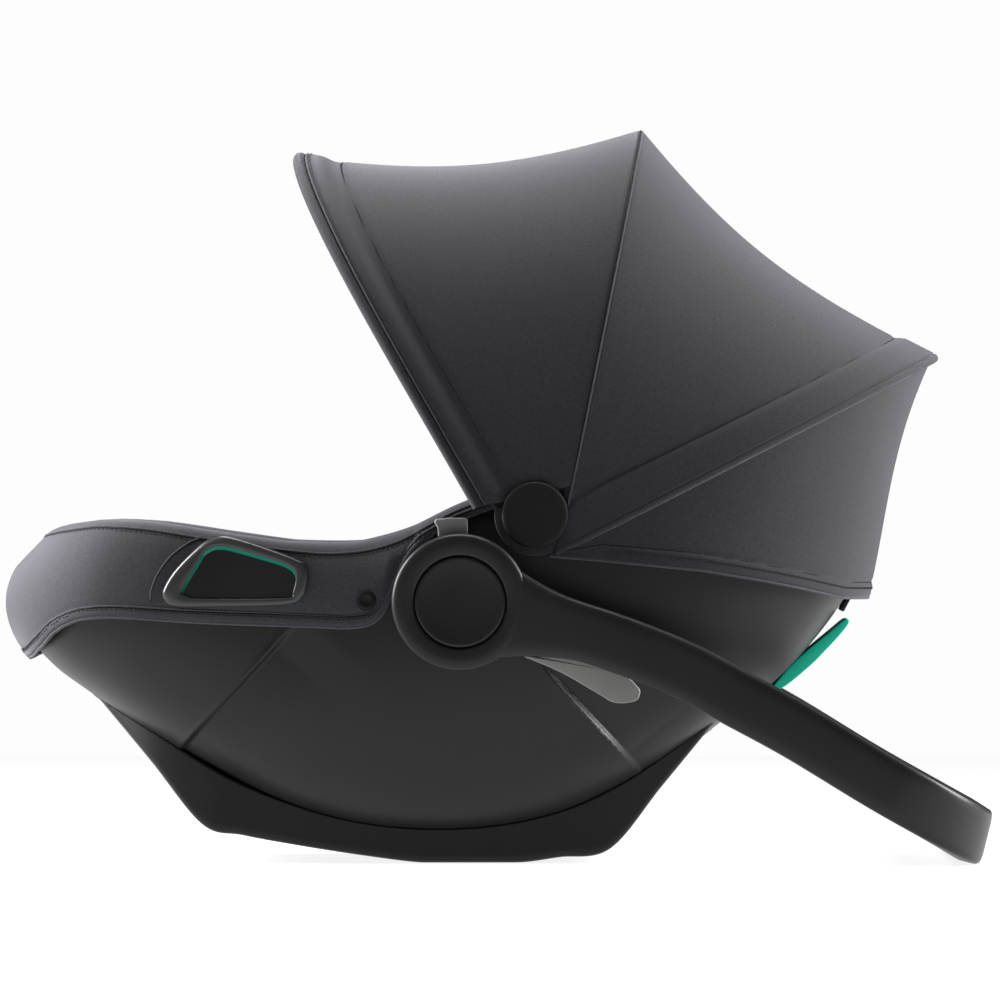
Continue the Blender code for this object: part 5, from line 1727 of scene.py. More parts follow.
@dataclass
class CanopyPanel:
    """Stretched jersey between two arches, with bands, a drawn-in middle and a fold weight."""

    name: str
    first: Arch
    second: Arch
    sag: float
    pivot: tuple[float, float]
    bodies: tuple[str, str]  # body at the first arch, body at the second
    flat: tuple[float, float]
    area: float
    relief: Callable[[float, float], float]  # distance from first and second arch to height
    span: tuple[float, float] = (0.0, math.pi)
    columns: int = 70
    rows: int = 150
    rigid: tuple[float, float] = (0.0, 0.0)  # widths at each arch that don't fold
    skew: float = 0.0  # how far the sag gathers towards the first arch

    def base_point(self, share: float, phi: float) -> Vector:
        """Point of the plain stretched cloth at a share of the way across.

        Args:
            share: Share of the way from the first arch.
            phi: Angle round the arches.

        Returns:
            The point.
        """
        a, b = self.first.at(phi), self.second.at(phi)
        point = a.lerp(b, share)
        reach = Vector((point.x - self.pivot[0], 0.0, point.z - self.pivot[1]))
        half = max(self.first.half_width, self.second.half_width)
        lean = 1 + self.skew * (1 - 2 * share)
        depth = self.sag * lean * 4 * share * (1 - share) * max(0.0, 1 - abs(point.y) / half) ** 0.8
        return point - reach.normalized() * depth if reach.length > 1e-6 else point

    def surface(self, share: float, phi: float) -> tuple[Vector, Vector]:
        """Point with its bands and seams pressed in, and the outward normal.

        Args:
            share: Share of the way from the first arch.
            phi: Angle round the arches.

        Returns:
            The point and the normal.
        """
        here = self.base_point(share, phi)
        step_u, step_v = 0.004, 0.006
        du = (self.base_point(min(1.0, share + step_u), phi)
              - self.base_point(max(0.0, share - step_u), phi))
        dv = (self.base_point(share, min(self.span[1], phi + step_v))
              - self.base_point(share, max(self.span[0], phi - step_v)))
        normal = du.cross(dv).normalized()
        outward = here - Vector((self.pivot[0] + 0.03, 0.0, self.pivot[1] + 0.02))
        if normal.dot(outward) < 0:
            normal = -normal
        wide = (self.second.at(phi) - self.first.at(phi)).length
        return here + normal * self.relief(share * wide, (1 - share) * wide), normal

    def share_at(self, phi: float, distance: float, from_second: bool = False) -> float:
        """Share of the way across at a distance from an arch, kept inside a narrow panel.

        Args:
            phi: Angle round the arches.
            distance: Distance from the arch.
            from_second: Whether it is measured from the second arch.

        Returns:
            The share.
        """
        wide = (self.second.at(phi) - self.first.at(phi)).length
        share = min(0.46, distance / max(wide, 1e-4))
        return 1 - share if from_second else share

    def weight(self, share: float, phi: float) -> float:
        """Fold weight towards the second arch's body there, by the share across the panel.

        Args:
            share: Share of the way from the first arch.
            phi: Angle round the arches.

        Returns:
            0 with the first body, 1 with the second.
        """
        wide = max((self.second.at(phi) - self.first.at(phi)).length, 1e-4)
        low, high = min(0.4, self.rigid[0] / wide), 1 - min(0.4, self.rigid[1] / wide)
        return max(0.0, min(1.0, (share - low) / (high - low)))

    def cloth_weights(self, mesh: Mesh) -> list[float]:
        """Fold weight at each vertex of the panel's own cloth, read from its weave map.

        Args:
            mesh: The cloth's mesh.

        Returns:
            One weight for each vertex.
        """
        weights = [0.0] * len(mesh.vertices)
        weave = mesh.uv_layers["weave"].data
        low, high = self.span
        for loop in mesh.loops:
            u, v = weave[loop.index].uv
            phi = low + (high - low) * v / self.flat[1]
            weights[loop.vertex_index] = self.weight(u / self.flat[0], phi)
        return weights

    def trim_weights(self, mesh: Mesh) -> list[float]:
        """Fold weight at each vertex of a trim, from the nearest places on the cloth.

        Args:
            mesh: The trim's mesh.

        Returns:
            One weight for each vertex.
        """
        places, known = [], []
        for phi in np.linspace(*self.span, 241):
            for share in np.linspace(0.0, 1.0, 81):
                places.append(self.base_point(float(share), float(phi)) + SEAT_SHIFT)
                known.append(self.weight(float(share), float(phi)))
        tree = KDTree(len(places))
        for i, place in enumerate(places):
            tree.insert(place, i)
        tree.balance()
        weights = []
        for vert in mesh.vertices:
            near = tree.find_n(vert.co, 4)
            pull = [1 / (distance ** 2 + 1e-8) for _, _, distance in near]
            weights.append(sum(p * known[n[1]] for p, n in zip(pull, near)) / sum(pull))
        return weights

    def fold(self, obj: Object, cloth: bool = False) -> None:
        """Attach a piece of the panel to its body, or work out its fold weights between two bodies.

        The canopy fans about one axis, so a straight blend would tear near the pivot. Where the two
        bodies differ, the piece's transform is baked and its weights by the share of the way across the
        panel are worked out, but no blend is made from them.

        Args:
            obj: The cloth or a trim on it.
            cloth: Whether it is the panel's own cloth.
        """
        a, b = self.bodies
        if a == b:
            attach(obj, a)
            return
        start, end = self.first.at(math.pi / 2), self.second.at(math.pi / 2)
        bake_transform(obj)
        values = self.cloth_weights(obj.data) if cloth else self.trim_weights(obj.data)


def bell(distance: float, centre: float, width: float) -> float:
    """A smooth bump of height 1 at centre."""
    return math.exp(-((distance - centre) / width) ** 2)


def plateau(distance: float, low: float, high: float, soft: float) -> float:
    """A flat-topped bump of height 1 between low and high."""
    return 0.5 * (math.tanh((distance - low) / soft) - math.tanh((distance - high) / soft))


def front_relief(d: float, other: float) -> float:
    """Front panel: rolled edge, piped groove, band over the hoop, valley and a puckered seam.

    Args:
        d: Distance from the front edge.
        other: Distance from the middle hoop.

    Returns:
        Height off the plain cloth.
    """
    fade = min(1.0, (d + other) / 0.06)
    height = 3.2 * plateau(d, -20.0 * MM, 17.0 * MM, 4.0 * MM) - 1.2 * bell(d, 2.9 * MM, 1.0 * MM)
    height -= 0.9 * bell(d, 25.0 * MM, 4.0 * MM)
    height -= 0.9 * bell(d, 29.5 * MM, 1.3 * MM)
    height -= 0.9 * bell(other, 0.0, 1.6 * MM)
    return height * MM * fade


def middle_relief(d: float, other: float) -> float:
    """Middle panel: a groove at the middle hoop and a band over the rear hoop.

    Args:
        d: Distance from the middle hoop.
        other: Distance from the rear hoop.

    Returns:
        Height off the plain cloth.
    """
    fade = min(1.0, (d + other) / 0.06)
    height = -0.9 * bell(d, 0.0, 1.6 * MM)
    height += 3.0 * plateau(other, -20.0 * MM, 25.0 * MM, 2.2 * MM)
    height -= 1.0 * bell(other, 28.0 * MM, 1.5 * MM)
    return height * MM * fade


def rear_relief(d: float, other: float) -> float:
    """Rear skirt: a groove at the rear hoop, and a turned hem.

    Args:
        d: Distance from the rear hoop.
        other: Distance from the hem.

    Returns:
        Height off the plain cloth.
    """
    fade = min(1.0, (d + other) / 0.06)
    height = -1.2 * bell(d, 0.0, 1.4 * MM) - 1.0 * bell(other, 12.5 * MM, 0.9 * MM)
    height += 1.0 * plateau(other, 0.0, 12.0 * MM, 1.0 * MM)
    return height * MM * fade


@dataclass
class Canopy(Assembly):
    """Three-panel canopy on flat hoops that fan about one pivot, with a skirt behind."""

    pivot: tuple[float, float] = (0.0266, 0.2676)
    half_width: float = 0.1908
    front_edge: tuple = ((-0.0076, 0.2600), (-0.1544, 0.5458))
    middle_seam: tuple = ((0.0518, 0.2752), (0.1100, 0.5668))
    rear_seam: tuple = ((0.0427, 0.2417), (0.3360, 0.3905))
    skirt_hem: Table = ((0.038, 0.2363), (0.0762, 0.2332), (0.1525, 0.2256), (0.1987, 0.2178),
                        (0.230, 0.2116), (0.2625, 0.2040), (0.2860, 0.2033))
    cloth: float = 1.6 * MM
    hoop: tuple[float, float] = (10.0 * MM, 2.4 * MM)
    plate_radius: float = 23.5 * MM
    cap_radius: float = 25.4 * MM

    def panels(self) -> list[CanopyPanel]:
        """Lay out the three panels.

        Returns:
            The front, middle and rear panels.
        """
        edge = Arch(*self.front_edge, self.half_width, bow=9.0 * MM)
        middle = Arch(*self.middle_seam, self.half_width)
        rear = Arch(*self.rear_seam, self.half_width)
        hem = Arch((0.038, 0.0), (0.2860, 0.0), self.half_width, 2.7, self.skirt_hem)
        start = 0.03
        front = CanopyPanel("front", edge, middle, 18 * MM, self.pivot,
                            ("canopy_front", "canopy_middle"), (0.27, 0.92), 0.165, front_relief,
                            (start, math.pi - start), 90, 150, (0.020, 0.004))
        mid = CanopyPanel("middle", middle, rear, 20 * MM, self.pivot, ("canopy_middle", "seat"),
                          (0.29, 0.95), 0.17, middle_relief, columns=80, rigid=(0.004, 0.012))
        back = CanopyPanel("rear", rear, hem, 7 * MM, self.pivot, ("seat", "seat"),
                           (0.20, 0.90), 0.12, rear_relief, columns=60, skew=0.9)
        return [front, mid, back]

    def make_panel(self, panel: CanopyPanel) -> None:
        """Args:
            panel: The panel.
        """
        low, high = panel.span

        def place(u: float, v: float) -> Vector:
            """Point of the sheet at u and v."""
            return panel.surface(u, low + (high - low) * v)[0]

        bm = grid_sheet(panel.columns, panel.rows, place, *panel.flat)
        bmesh.ops.remove_doubles(bm, verts=bm.verts, dist=1e-6)
        bmesh.ops.recalc_face_normals(bm, faces=bm.faces)
        highest = max(bm.faces, key=lambda face: face.calc_center_median().z)
        if highest.normal.z < 0:
            bmesh.ops.reverse_faces(bm, faces=bm.faces)
        area = sum(face.calc_area() for face in bm.faces)
        log.info("canopy panel %s: %.4f square metres", panel.name, area)
        obj = self.piece(f"canopy_cloth_{panel.name}", bm, self.finishes.canopy, "canopy_fabric",
                         None, (f"canopy_panel_{panel.name}",), wall=self.cloth, wall_offset=0.0,
                         sharp=180.0, folds=True)
        panel.fold(obj, cloth=True)

    def line_on(self, panel: CanopyPanel, distance: float, from_second: bool,
                lift: float, trim: float = 0.0) -> tuple[list[Vector], list[Vector]]:
        """A line on a panel at a distance from one of its arches, and the normals along it.

        Args:
            panel: The panel.
            distance: Distance from the arch, below 0 past its edge.
            from_second: Whether it is measured from the second arch.
            lift: How far off the cloth it lies.
            trim: Angle left out at both ends.

        Returns:
            The points and the normals.
        """
        points, normals = [], []
        low, high = panel.span
        for phi in np.linspace(low + trim, high - trim, 260):
            share = panel.share_at(float(phi), max(distance, 0.0), from_second)
            point, normal = panel.surface(share, float(phi))
            if distance < 0:
                outside = panel.first.at(float(phi)) - panel.second.at(float(phi))
                point += outside.normalized() * (distance if from_second else -distance)
            points.append(point + normal * (self.cloth / 2 + lift))
            normals.append(normal)
        return points, normals

    def make_seams(self, front: CanopyPanel, middle: CanopyPanel, rear: CanopyPanel) -> None:
        """Add the rolled front edge, the piped seams and the stitched lines of every panel.

        Args:
            front: The front panel.
            middle: The middle panel.
            rear: The skirt.
        """
        # Piping cords are drawn lighter as painted highlight; cords in the near-black gap cloth are
        # painted shade, laid in the grooves and along the skirt's fold.
        cords = [
            (front, "front_edge_roll", -0.8 * MM, False, -4.2 * MM, 4.6 * MM, self.finishes.canopy, 4),
            (front, "front_piping", 4.0 * MM, False, 0.15 * MM, 0.7 * MM, self.finishes.piping, 1),
            (front, "front_groove_shade", 2.6 * MM, False, 0.10 * MM, 0.5 * MM, self.finishes.gap, 1),
            (front, "middle_groove_shade", 0.4 * MM, True, 0.30 * MM, 0.5 * MM, self.finishes.gap, 1),
            (middle, "middle_piping", 1.2 * MM, False, 0.15 * MM, 0.8 * MM, self.finishes.piping, 1),
            (middle, "rear_piping", -2.2 * MM, True, -3.4 * MM, 3.6 * MM, self.finishes.canopy, 4),
            (rear, "rear_groove_shade", 3.4 * MM, False, 0.20 * MM, 0.8 * MM, self.finishes.gap, 1),
            (rear, "skirt_fold_shade", 12.2 * MM, True, 0.02 * MM, 0.4 * MM, self.finishes.gap, 1),
            (rear, "skirt_hem_roll", 0.0, True, -0.7 * MM, 1.2 * MM, self.finishes.piping, 2),
        ]
        for panel, name, distance, second, lift, radius, material, roundness in cords:
            points, _ = self.line_on(panel, distance, second, lift)
            obj = self.piece(f"canopy_{name}", line_mesh([points], radius, roundness), material,
                             "canopy_fabric", None, sharp=80.0)
            panel.fold(obj)
        stitches = [(front, "front_band_stitches", 29.5 * MM, False, 0.8 * MM),
                    (front, "front_edge_stitches", 6.4 * MM, False, 0.0),
                    (middle, "rear_band_stitches", 28.0 * MM, True, 0.6 * MM),
                    (rear, "skirt_hem_stitches", 8.0 * MM, True, 0.7 * MM)]
        for panel, name, distance, second, zigzag in stitches:
            points, normals = self.line_on(panel, distance, second, 0.1 * MM, 0.10)
            stitch = (1.7 * MM, 0.5 * MM) if zigzag else (2.6 * MM, 1.4 * MM)
            mesh = line_mesh(dashes(points, normals, *stitch, zigzag), 0.33 * MM, 0)
            obj = self.piece(f"canopy_{name}", mesh, self.finishes.thread, "canopy_fabric", None,
                             sharp=80.0)
            panel.fold(obj)

    def make_binding(self) -> None:
        """Make the cloth tape that gathers the canopy's feet under each cap."""
        points, sides = [], []
        for angle in np.radians(np.linspace(168.0, 352.0, 48)):
            out = Vector((math.cos(angle), 0.0, math.sin(angle)))
            points.append(Vector((self.pivot[0], -0.1906, self.pivot[1])) + out * 25.5 * MM)
            sides.append(out)
        outward = [Vector((0.0, -1.0, 0.0))] * len(points)
        tape = swept(points, sides, outward, [(11.0 * MM, 2.2 * MM)] * len(points), 20, 3.0)
        self.pair("canopy_foot_binding", tape, self.finishes.canopy, "canopy_fabric", "seat",
                  replaces=False, sharp=180.0)

    def make_hoop(self, name: str, foot: tuple[float, float], top: tuple[float, float],
                  half_width: float, body: str, plates: bool, first: float = 0.0) -> None:
        """Make a flat moulded hoop, with round plates at its feet where it pivots.

        Args:
            name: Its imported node.
            foot: x and z of its feet.
            top: x and z of its top.
            half_width: Half the distance between its feet.
            body: The body it rides on.
            plates: Whether it has plates at its feet.
            first: Angle at which it starts.
        """
        arch = Arch(foot, top, half_width)
        points = [arch.at(float(phi)) for phi in np.linspace(first, math.pi - first, 90)]
        along = Vector((top[0] - foot[0], 0.0, top[1] - foot[1])).normalized()
        side = Vector((along.z, 0.0, -along.x))
        normals = [side.cross(ahead).normalized() for ahead in aheads(points)]
        bm = swept(points, [side] * len(points), normals, [self.hoop] * len(points), 16, 5.0)
        if plates:
            half = self.hoop[1] / 2
            disc = turned([(4.5 * MM, half_width - half), (self.plate_radius, half_width - half),
                           (self.plate_radius, half_width + half),
                           (4.5 * MM, half_width + half)], *self.pivot, 48)
            join_pair(bm, disc)
        self.piece(f"{name}_made", bm, self.finishes.trim, "trim_plastic", body, (name,))

    def make(self) -> None:
        """Make the hoops, the cloth, its seams and the hub caps."""
        self.make_hoop("hoop_front", (0.0030, 0.2675), (-0.1347, 0.5356), 0.1845, "canopy_front", True)
        self.make_hoop("hoop_middle", (0.0487, 0.2593), (0.1085, 0.5592), 0.1875, "canopy_middle",
                       True)
        self.make_hoop("hoop_rear", (0.0480, 0.2444), (0.3275, 0.3862), 0.1865, "seat", False, 0.036)
        front, middle, rear = self.panels()
        for panel in (front, middle, rear):
            self.make_panel(panel)
        self.make_seams(front, middle, rear)
        self.make_binding()
        r = self.cap_radius
        profile = [(0, 0.1818), (4.0 * MM, 0.1818), (4.0 * MM, 0.1922), (r - 1 * MM, 0.1922),
                   (r, 0.1930), (r, 0.1944), (r - 0.5 * MM, 0.1954), (r - 1.6 * MM, 0.1961),
                   (r - 3.5 * MM, 0.1963), (0, 0.1960)]
        self.pair("canopy_cap", turned(profile, *self.pivot, 96), self.finishes.cap,
                  "trim_plastic", "seat")


# ---------- pads and headrest

@dataclass
class BackRest:
    """The slope that the headrest slides along."""

    x: float = 0.110
    z: float = 0.135
    angle: float = math.radians(36.9)

    def at(self, along: float, across: float, out: float) -> Vector:
        """Point up the slope, across the seat and out from the slope."""
        cosine, sine = math.cos(self.angle), math.sin(self.angle)
        return Vector((self.x + along * cosine - out * sine, across,
                       self.z + along * sine + out * cosine))


@dataclass
class Pads(Assembly):
    """Newborn insert and headrest: stuffed jersey pads with sewn channels."""

    shapes: TubShapes = field(default_factory=TubShapes)
    back: BackRest = field(default_factory=BackRest)
    keel_span: tuple[float, float] = (-0.148, 0.098)
    spread: float = 0.92
    insert_offset: float = 13.5 * MM
    insert_thickness: float = 12.0 * MM
    headrest_base: float = 6.0 * MM
    headrest_length: float = 0.110

    def insert_point(self, share: float, phi: float, offset: float) -> Vector:
        """Point of the insert's middle surface, off the bowl.

        Args:
            share: Share of the bowl's length.
            phi: Angle round the bowl, below 0 on the left.
            offset: Distance off the bowl.

        Returns:
            The point.
        """
        bowl = self.shapes.bowl
        point = bowl.at(share, abs(phi))
        _, normal, _, _ = bowl.tree.find_nearest(point)
        if normal.dot(self.shapes.focus - point) < 0:
            normal = -normal
        lifted = point + normal * offset
        if phi > 0:
            lifted.y = -lifted.y
        if abs(phi) < 1e-6:
            lifted.y = 0.0
        return lifted

    def share_of(self, keel_x: float) -> float:
        """Share of the bowl's length at a keel position."""
        dense = self.shapes.bowl.dense
        return float(np.argmin(np.abs(dense[:, 0] - keel_x))) / (len(dense) - 1)

    def make_insert(self) -> None:
        """Stuff the newborn insert and sew its channels."""
        low, high = (self.share_of(x) for x in self.keel_span)

        def place(u: float, v: float) -> Vector:
            """Point of the sheet at u and v."""
            return self.insert_point(low + (high - low) * u, (v - 0.5) * 2 * self.spread,
                                     self.insert_offset)

        bm = grid_sheet(40, 44, place, 0.25, 0.30)
        bmesh.ops.recalc_face_normals(bm, faces=bm.faces)
        pad = self.piece("seat_pad_made", bm, self.finishes.lining, "pad_fabric", "seat",
                         ("seat_pad",), wall=self.insert_thickness, wall_offset=0.0, sharp=180.0)
        self.settle_walls(pad)
        puff(pad, 5.0 * MM, 4.0, 4.0 * MM)
        shares = np.linspace(low + 0.02, high - 0.02, 60)
        lines = []
        for phi in (-0.46, 0.46):
            lines.append([self.insert_point(float(s), phi, 20 * MM) + SEAT_SHIFT for s in shares])
        for share in (0.26, 0.50, 0.74):
            lines.append([self.insert_point(low + (high - low) * share, float(phi), 20 * MM)
                          + SEAT_SHIFT for phi in np.linspace(-0.46, 0.46, 40)])
        sew_channels(pad, lines, 3.0 * MM, 4.5 * MM)
        self.stitch("seat_pad_stitches", pad, lines, "seat")

    def stitch(self, name: str, pad: Object, lines: Sequence[Sequence[Vector]],
               body: str) -> None:
        """Lay stitches along a pad's channels.

        Args:
            name: The stitches' name.
            pad: The pad.
            lines: Its channels.
            body: The body it rides on.
        """
        tree = tree_of(pad)
        sewn = []
        for line in lines:
            laid, normals = on_surface(tree, line, 0.15 * MM)
            sewn += dashes([p - SEAT_SHIFT for p in laid], normals)
        self.piece(name, line_mesh(sewn, 0.4 * MM, 0), self.finishes.thread, "pad_fabric", body,
                   sharp=80.0)

    def wing(self, offset: float, length: float, base: float, columns: int) -> BMesh:
        """U-shaped sheet of the headrest: across the back, then out along both wings.

        Args:
            offset: Distance in from the shell.
            length: Its height up the slope.
            base: Where it starts up the slope.
            columns: Faces across it.

        Returns:
            The sheet.
        """
        def place(u: float, v: float) -> Vector:
            """Point of the sheet at u and v."""
            along = base + length * v
            half = (0.086 - 0.012 * v) - offset
            low = 0.016 + offset
            high = 0.074 - 0.014 * abs(2 * v - 1) ** 2 - offset * 0.3
            corner = 0.014
            section = smooth_curve([(0.0, low), (half * 0.6, low), (half - corner, low + 0.001),
                                    (half - corner * 0.3, low + corner * 0.3), (half, low + corner),
                                    (half + 0.004, (low + high) / 2), (half + 0.008, high)],
                                   SECTION_SAMPLES)
            at = abs(u - 0.5) * 2 * (SECTION_SAMPLES - 1)
            across, out = (float(np.interp(at, np.arange(SECTION_SAMPLES), c)) for c in section.T)
            return self.back.at(along, math.copysign(across, u - 0.5), out)

        return grid_sheet(columns, columns // 2, place, 0.30, length)

    def make_headrest(self) -> None:
        """Make the headrest's shell, its stuffed pad and its release lever."""
        shell = self.wing(0.0, self.headrest_length, self.headrest_base, 64)
        bmesh.ops.recalc_face_normals(shell, faces=shell.faces)
        self.piece("headrest_shell_made", shell, self.finishes.trim, "trim_plastic", "headrest",
                   ("headrest_shell",), wall=2.5 * MM, wall_offset=0.0)
        bm = self.wing(8.7 * MM, self.headrest_length - 0.004, self.headrest_base + 0.002, 48)
        bmesh.ops.recalc_face_normals(bm, faces=bm.faces)
        pad = self.piece("headrest_pad_made", bm, self.finishes.lining, "pad_fabric", "headrest",
                         ("headrest_pad",), wall=11.0 * MM, wall_offset=0.0, sharp=180.0)
        self.settle_walls(pad)
        puff(pad, 4.5 * MM, 4.0, 3.5 * MM)
        lines = []
        for across in (-0.052, 0.052):
            lines.append([self.back.at(float(a), across, 0.031) + SEAT_SHIFT
                          for a in np.linspace(0.014, 0.108, 50)])
        lines.append([self.back.at(0.040, float(y), 0.031) + SEAT_SHIFT
                      for y in np.linspace(-0.050, 0.050, 50)])
        sew_channels(pad, lines, 2.6 * MM, 4.0 * MM)
        self.stitch("headrest_stitches", pad, lines, "headrest")
        place = self.back.at(self.headrest_base + self.headrest_length + 0.0062, 0.0, 0.020)
        lever = block(place, (0.0110, 0.046, 0.009), self.back.angle, 2.2 * MM)
        self.piece("headrest_release_made", lever, self.finishes.grey, "grey_plastic",
                   "headrest_release", ("headrest_release",))

    def settle_walls(self, obj: Object) -> None:
        """Turn a piece's live wall into mesh, so that it is one closed shape.

        Args:
            obj: The piece.
        """
        solid = evaluated_mesh(obj)
        obj.modifiers.clear()
        obj.data = solid

    def make(self) -> None:
        """Make the insert and the headrest."""
        self.make_insert()
        self.make_headrest()


# ---------- harness

@dataclass
class Harness(Assembly):
    """Webbing, shoulder and crotch pads, buckle and adjuster."""

    back: BackRest = field(default_factory=BackRest)
    strap: tuple[float, float] = (25.0 * MM, 1.6 * MM)
    shoulder: Table = (
        (-0.0168, -0.0135, 0.1222), (0.0030, -0.0180, 0.1262), (0.0300, -0.0260, 0.1345),
        (0.0580, -0.0350, 0.1490), (0.0830, -0.0400, 0.1665), (0.1050, -0.0420, 0.1840),
        (0.1250, -0.0420, 0.1990))
    lap: Table = (
        (-0.0310, -0.0300, 0.1205), (-0.0240, -0.0500, 0.1210), (-0.0150, -0.0800, 0.1220),
        (-0.0080, -0.0980, 0.1250), (-0.0060, -0.1110, 0.1290))
    crotch: Table = ((-0.1180, 0.0, 0.1050), (-0.1120, 0.0, 0.1075), (-0.1030, 0.0, 0.1070),
                     (-0.0945, 0.0, 0.1083))
    pull: Table = ((-0.2135, 0.0, 0.1462), (-0.2350, 0.0, 0.1580), (-0.2600, 0.0, 0.1760),
                   (-0.2850, 0.0, 0.1960))
    hidden: Table = (  # the adjuster strap, between the bowl and the shell
        (0.1120, 0.0, 0.1000), (0.0600, 0.0, 0.0680), (0.0000, 0.0, 0.0420),
        (-0.0600, 0.0, 0.0360), (-0.1200, 0.0, 0.0480), (-0.1700, 0.0, 0.0720),
        (-0.1950, 0.0, 0.0890))
    buckle: tuple[float, float, float] = (-0.066, 0.0, 0.1135)
    buckle_angle: float = math.radians(10.0)
    adjuster: tuple[float, float, float] = (-0.1930, 0.0, 0.1345)
    adjuster_angle: float = math.radians(-30.5)

    def tipped(self, center: Sequence[float], angle: float, along: float, across: float,
               out: float) -> Vector:
        """Point in the frame of a block tipped about Y."""
        return Vector(center) + Vector((along * math.cos(angle) - out * math.sin(angle), across,
                                        along * math.sin(angle) + out * math.cos(angle)))

    def webbing(self, route: Table, width: float, thickness: float, count: int,
                up: Vector) -> BMesh:
        """Flat webbing along a smooth route.

        Args:
            route: Points that it passes through.
            width: The strap's width.
            thickness: Its thickness.
            count: Points along it.
            up: The direction its face keeps to.

        Returns:
            The closed strap.
        """
        points = vectors(even_points(smooth_curve(route, 300), count))
        sides, normals = path_frames(points, up)
        return swept(points, sides, normals, [(width, thickness)] * count, 20, 6.0)

    def make_straps(self) -> None:
        """Make the shoulder, lap, crotch and pull straps."""
        up = self.back.at(0, 0, 1) - self.back.at(0, 0, 0)
        width, thickness = self.strap
        self.pair("shoulder_strap", self.webbing(self.shoulder, width, thickness, 60, up),
                  self.finishes.webbing, "webbing", "seat")
        upright = Vector((0, 0, 1))
        self.pair("lap_strap", self.webbing(self.lap, width, thickness, 30, upright),
                  self.finishes.webbing, "webbing", "seat")
        for name, route, wide, thick, count in (
                ("crotch_strap", self.crotch, 0.038, 2 * MM, 16),
                ("pull_strap", self.pull, width, thickness, 30),
                ("adjuster_strap", self.hidden, width, thickness, 60)):
            self.piece(f"{name}_made", self.webbing(route, wide, thick, count, upright),
                       self.finishes.webbing, "webbing", "seat", (name,))

    def pillow(self, points: Sequence[Vector], up: Vector, width: float,
               thickness: float) -> BMesh:
        """A stuffed sleeve along a path, round at both ends.

        Args:
            points: The path.
            up: The direction its face keeps to.
            width: Its full width.
            thickness: Its full thickness.

        Returns:
            The closed sleeve.
        """
        sides, normals = path_frames(points, up)
        last = len(points) - 1
        sizes = []
        for i in range(len(points)):
            end = min(i, last - i) / (last * 0.16)
            full = math.sqrt(max(0.02, 1 - max(0.0, 1 - end) ** 2))
            sizes.append((width * (0.80 + 0.20 * full), thickness * (0.30 + 0.70 * full)))
        return swept(points, sides, normals, sizes, 36, 2.8)

    def make_pads(self) -> None:
        """Make the shoulder pads and the crotch pad."""
        up = self.back.at(0, 0, 1) - self.back.at(0, 0, 0)
        route = even_points(smooth_curve(self.shoulder, 200), 200)
        points = vectors(even_points(route[58:128], 48))
        pad = self.pillow(points, up, 0.042, 0.0125)
        for made in self.pair("shoulder_pad", pad, self.finishes.lining, "pad_fabric", "seat",
                              sharp=180.0):
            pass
        flat = [self.tipped((-0.0625, 0.0, 0.0985), math.radians(6.0), float(a), 0.0, 0.0)
                for a in np.linspace(-0.028, 0.028, 30)]
        crotch = self.pillow(flat, Vector((0, 0, 1)), 0.056, 0.0065)
        made = self.piece("crotch_pad_made", crotch, self.finishes.lining, "pad_fabric", "seat",
                          ("crotch_pad",), sharp=180.0)

    def make_buckle(self) -> None:
        """Make the buckle body with its red button, and dress the tongues."""
        body = block(self.buckle, (0.056, 0.050, 0.019), self.buckle_angle, 5.0 * MM, 6)
        self.piece("buckle_body_made", body, self.finishes.trim, "trim_plastic", "seat",
                   ("buckle_body",))
        frame_ring = block(self.tipped(self.buckle, self.buckle_angle, -0.007, 0, 0.0092),
                           (0.0262, 0.0342, 0.0016), self.buckle_angle, 0.7 * MM)
        self.piece("buckle_button_surround", frame_ring, self.finishes.trim, "trim_plastic", "seat")
        place = self.tipped(self.buckle, self.buckle_angle, -0.007, 0, 0.0088)
        button = block(place, (0.0218, 0.0298, 0.0044), self.buckle_angle, 1.4 * MM, 5)
        self.piece("buckle_button_made", button, self.finishes.red, "red_plastic", "buckle_button",
                   ("buckle_button",))
        for side in Side:
            self.dress_node(f"buckle_tongue_{side.word}", self.finishes.steel)

    def make_adjuster(self) -> None:
        """Make the adjuster's housing and button."""
        housing = block(self.adjuster, (0.040, 0.050, 0.012), self.adjuster_angle, 3.5 * MM, 5)
        self.piece("adjuster_housing_made", housing, self.finishes.trim, "trim_plastic", "seat",
                   ("adjuster_housing",))
        place = self.tipped(self.adjuster, self.adjuster_angle, 0.004, 0, 0.0064)
        button = block(place, (0.0196, 0.0236, 0.0036), self.adjuster_angle, 1.2 * MM, 4)
        self.piece("adjuster_button_made", button, self.finishes.grey, "grey_plastic",
                   "adjuster_button", ("adjuster_button",))

    def make(self) -> None:
        """Make the whole harness."""
        self.make_straps()
        self.make_pads()
        self.make_buckle()
        self.make_adjuster()


# ---------- studio

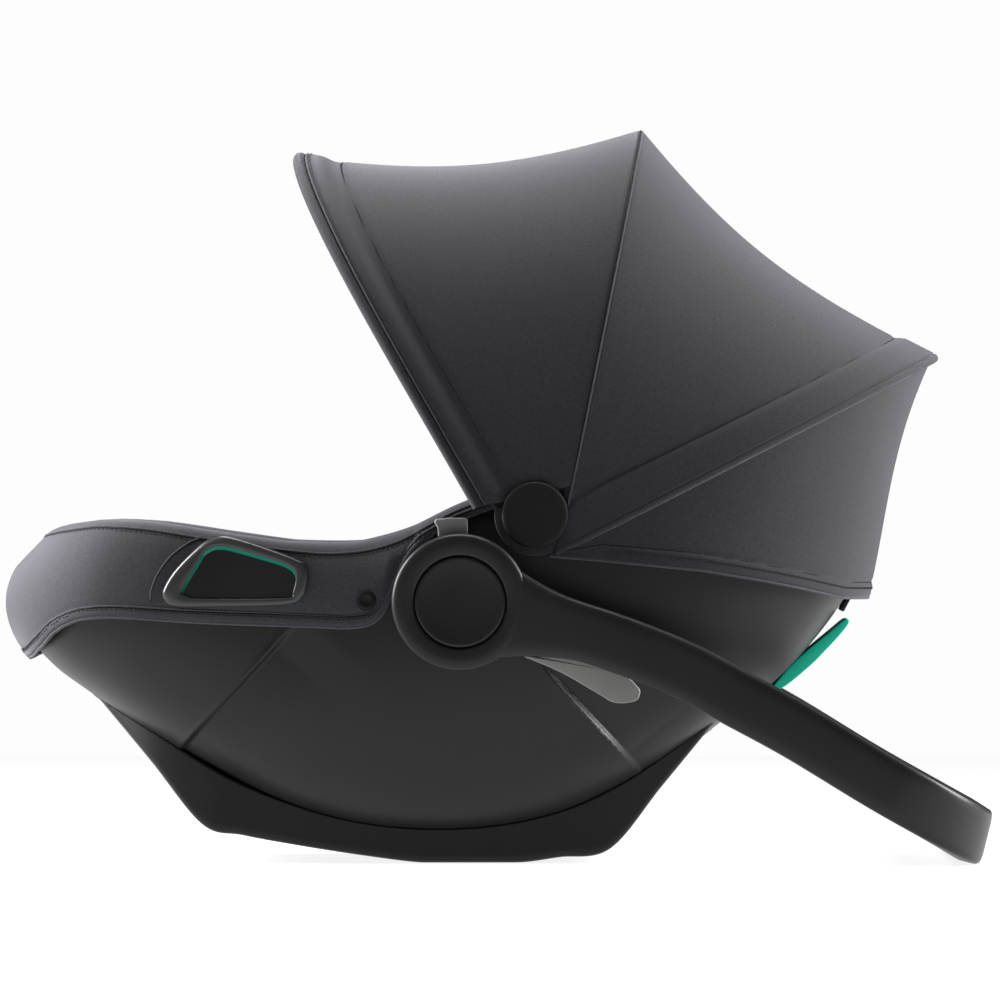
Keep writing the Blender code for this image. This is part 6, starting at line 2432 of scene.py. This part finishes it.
@dataclass
class Studio:
    """Pale studio with soft lights and a long lens square to the seat's left side."""

    distance: float = 8.0
    frame_width: float = 0.780
    eye_height: float = 0.279
    sensor: float = 36.0

    def area_light(self, name: str, place: Sequence[float], aim: Sequence[float],
                   size: tuple[float, float], watts: float) -> None:
        """Add a rectangular soft light that faces a point.

        Args:
            name: The light's name.
            place: Where it stands.
            aim: The point it faces.
            size: Its width and height.
            watts: Its power.
        """
        lamp = bpy.data.lights.new(name, "AREA")
        lamp.shape = "RECTANGLE"
        lamp.size, lamp.size_y = size
        lamp.energy = watts
        obj = bpy.data.objects.new(name, lamp)
        obj.location = place
        obj.rotation_euler = (Vector(aim) - Vector(place)).to_track_quat("-Z", "Y").to_euler()
        bpy.context.collection.objects.link(obj)

    def make(self) -> None:
        """Set the camera, the floor, the lights and the pale surroundings."""
        camera = bpy.data.cameras.new("side_camera")
        camera.sensor_width = self.sensor
        camera.lens = self.sensor * self.distance / self.frame_width
        camera.clip_end = 60.0
        obj = bpy.data.objects.new("side_camera", camera)
        obj.location = (SEAT_SHIFT.x, -self.distance, self.eye_height)
        obj.rotation_euler = (math.pi / 2, 0.0, 0.0)
        bpy.context.collection.objects.link(obj)
        bpy.context.scene.camera = obj
        bm = bmesh.new()
        bmesh.ops.create_circle(bm, cap_ends=True, segments=96, radius=3.2)
        mesh = bpy.data.meshes.new("studio_floor")
        bm.to_mesh(mesh)
        bm.free()
        mesh.transform(Matrix.Translation((0.0, 0.0, -0.0005)))
        mesh.materials.append(StudioFloor("white_studio_floor").build())
        floor = bpy.data.objects.new("studio_floor", mesh)
        bpy.context.collection.objects.link(floor)
        middle = (0.0, 0.0, 0.25)
        self.area_light("top_softbox", (0.05, 0.25, 2.3), middle, (1.6, 1.3), 70.0)
        self.area_light("foot_softbox", (-2.1, 0.10, 1.1), middle, (0.7, 1.4), 165.0)
        self.area_light("head_softbox", (2.1, 0.05, 0.9), middle, (0.7, 1.4), 110.0)
        self.area_light("fill_softbox", (-0.8, -3.0, 1.3), middle, (1.8, 1.2), 2.2)
        world = bpy.data.worlds.new("pale_surroundings")
        world.use_nodes = True
        tree = world.node_tree
        tree.nodes.clear()
        seen = add_node(tree, "Background", {"Color": linear("fdfdfd"), "Strength": 1.0})
        soft = add_node(tree, "Background", {"Color": linear("f2f3f5"), "Strength": 0.07})
        ray = add_node(tree, "LightPath")
        mix = add_node(tree, "MixShader", {0: ray.outputs["Is Camera Ray"],
                                           1: soft.outputs[0], 2: seen.outputs[0]})
        add_node(tree, "OutputWorld", {"Surface": mix.outputs[0]})
        bpy.context.scene.view_settings.view_transform = "Standard"
        bpy.context.scene.world = world


def main() -> None:
    """Build the studio and every sub-assembly, and report each piece."""
    logging.basicConfig(level=logging.INFO, format="%(name)s: %(message)s")
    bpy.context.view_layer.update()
    Studio().make()
    finishes = Finishes()
    shapes = TubShapes()
    ShellAndBase(finishes, shapes).make()
    BeltFittings(finishes, shapes).make()
    SeatCover(finishes, shapes).make()
    CarryHandle(finishes).make()
    Canopy(finishes).make()
    Pads(finishes, shapes).make()
    Harness(finishes).make()


if __name__ == "__main__":
    main()
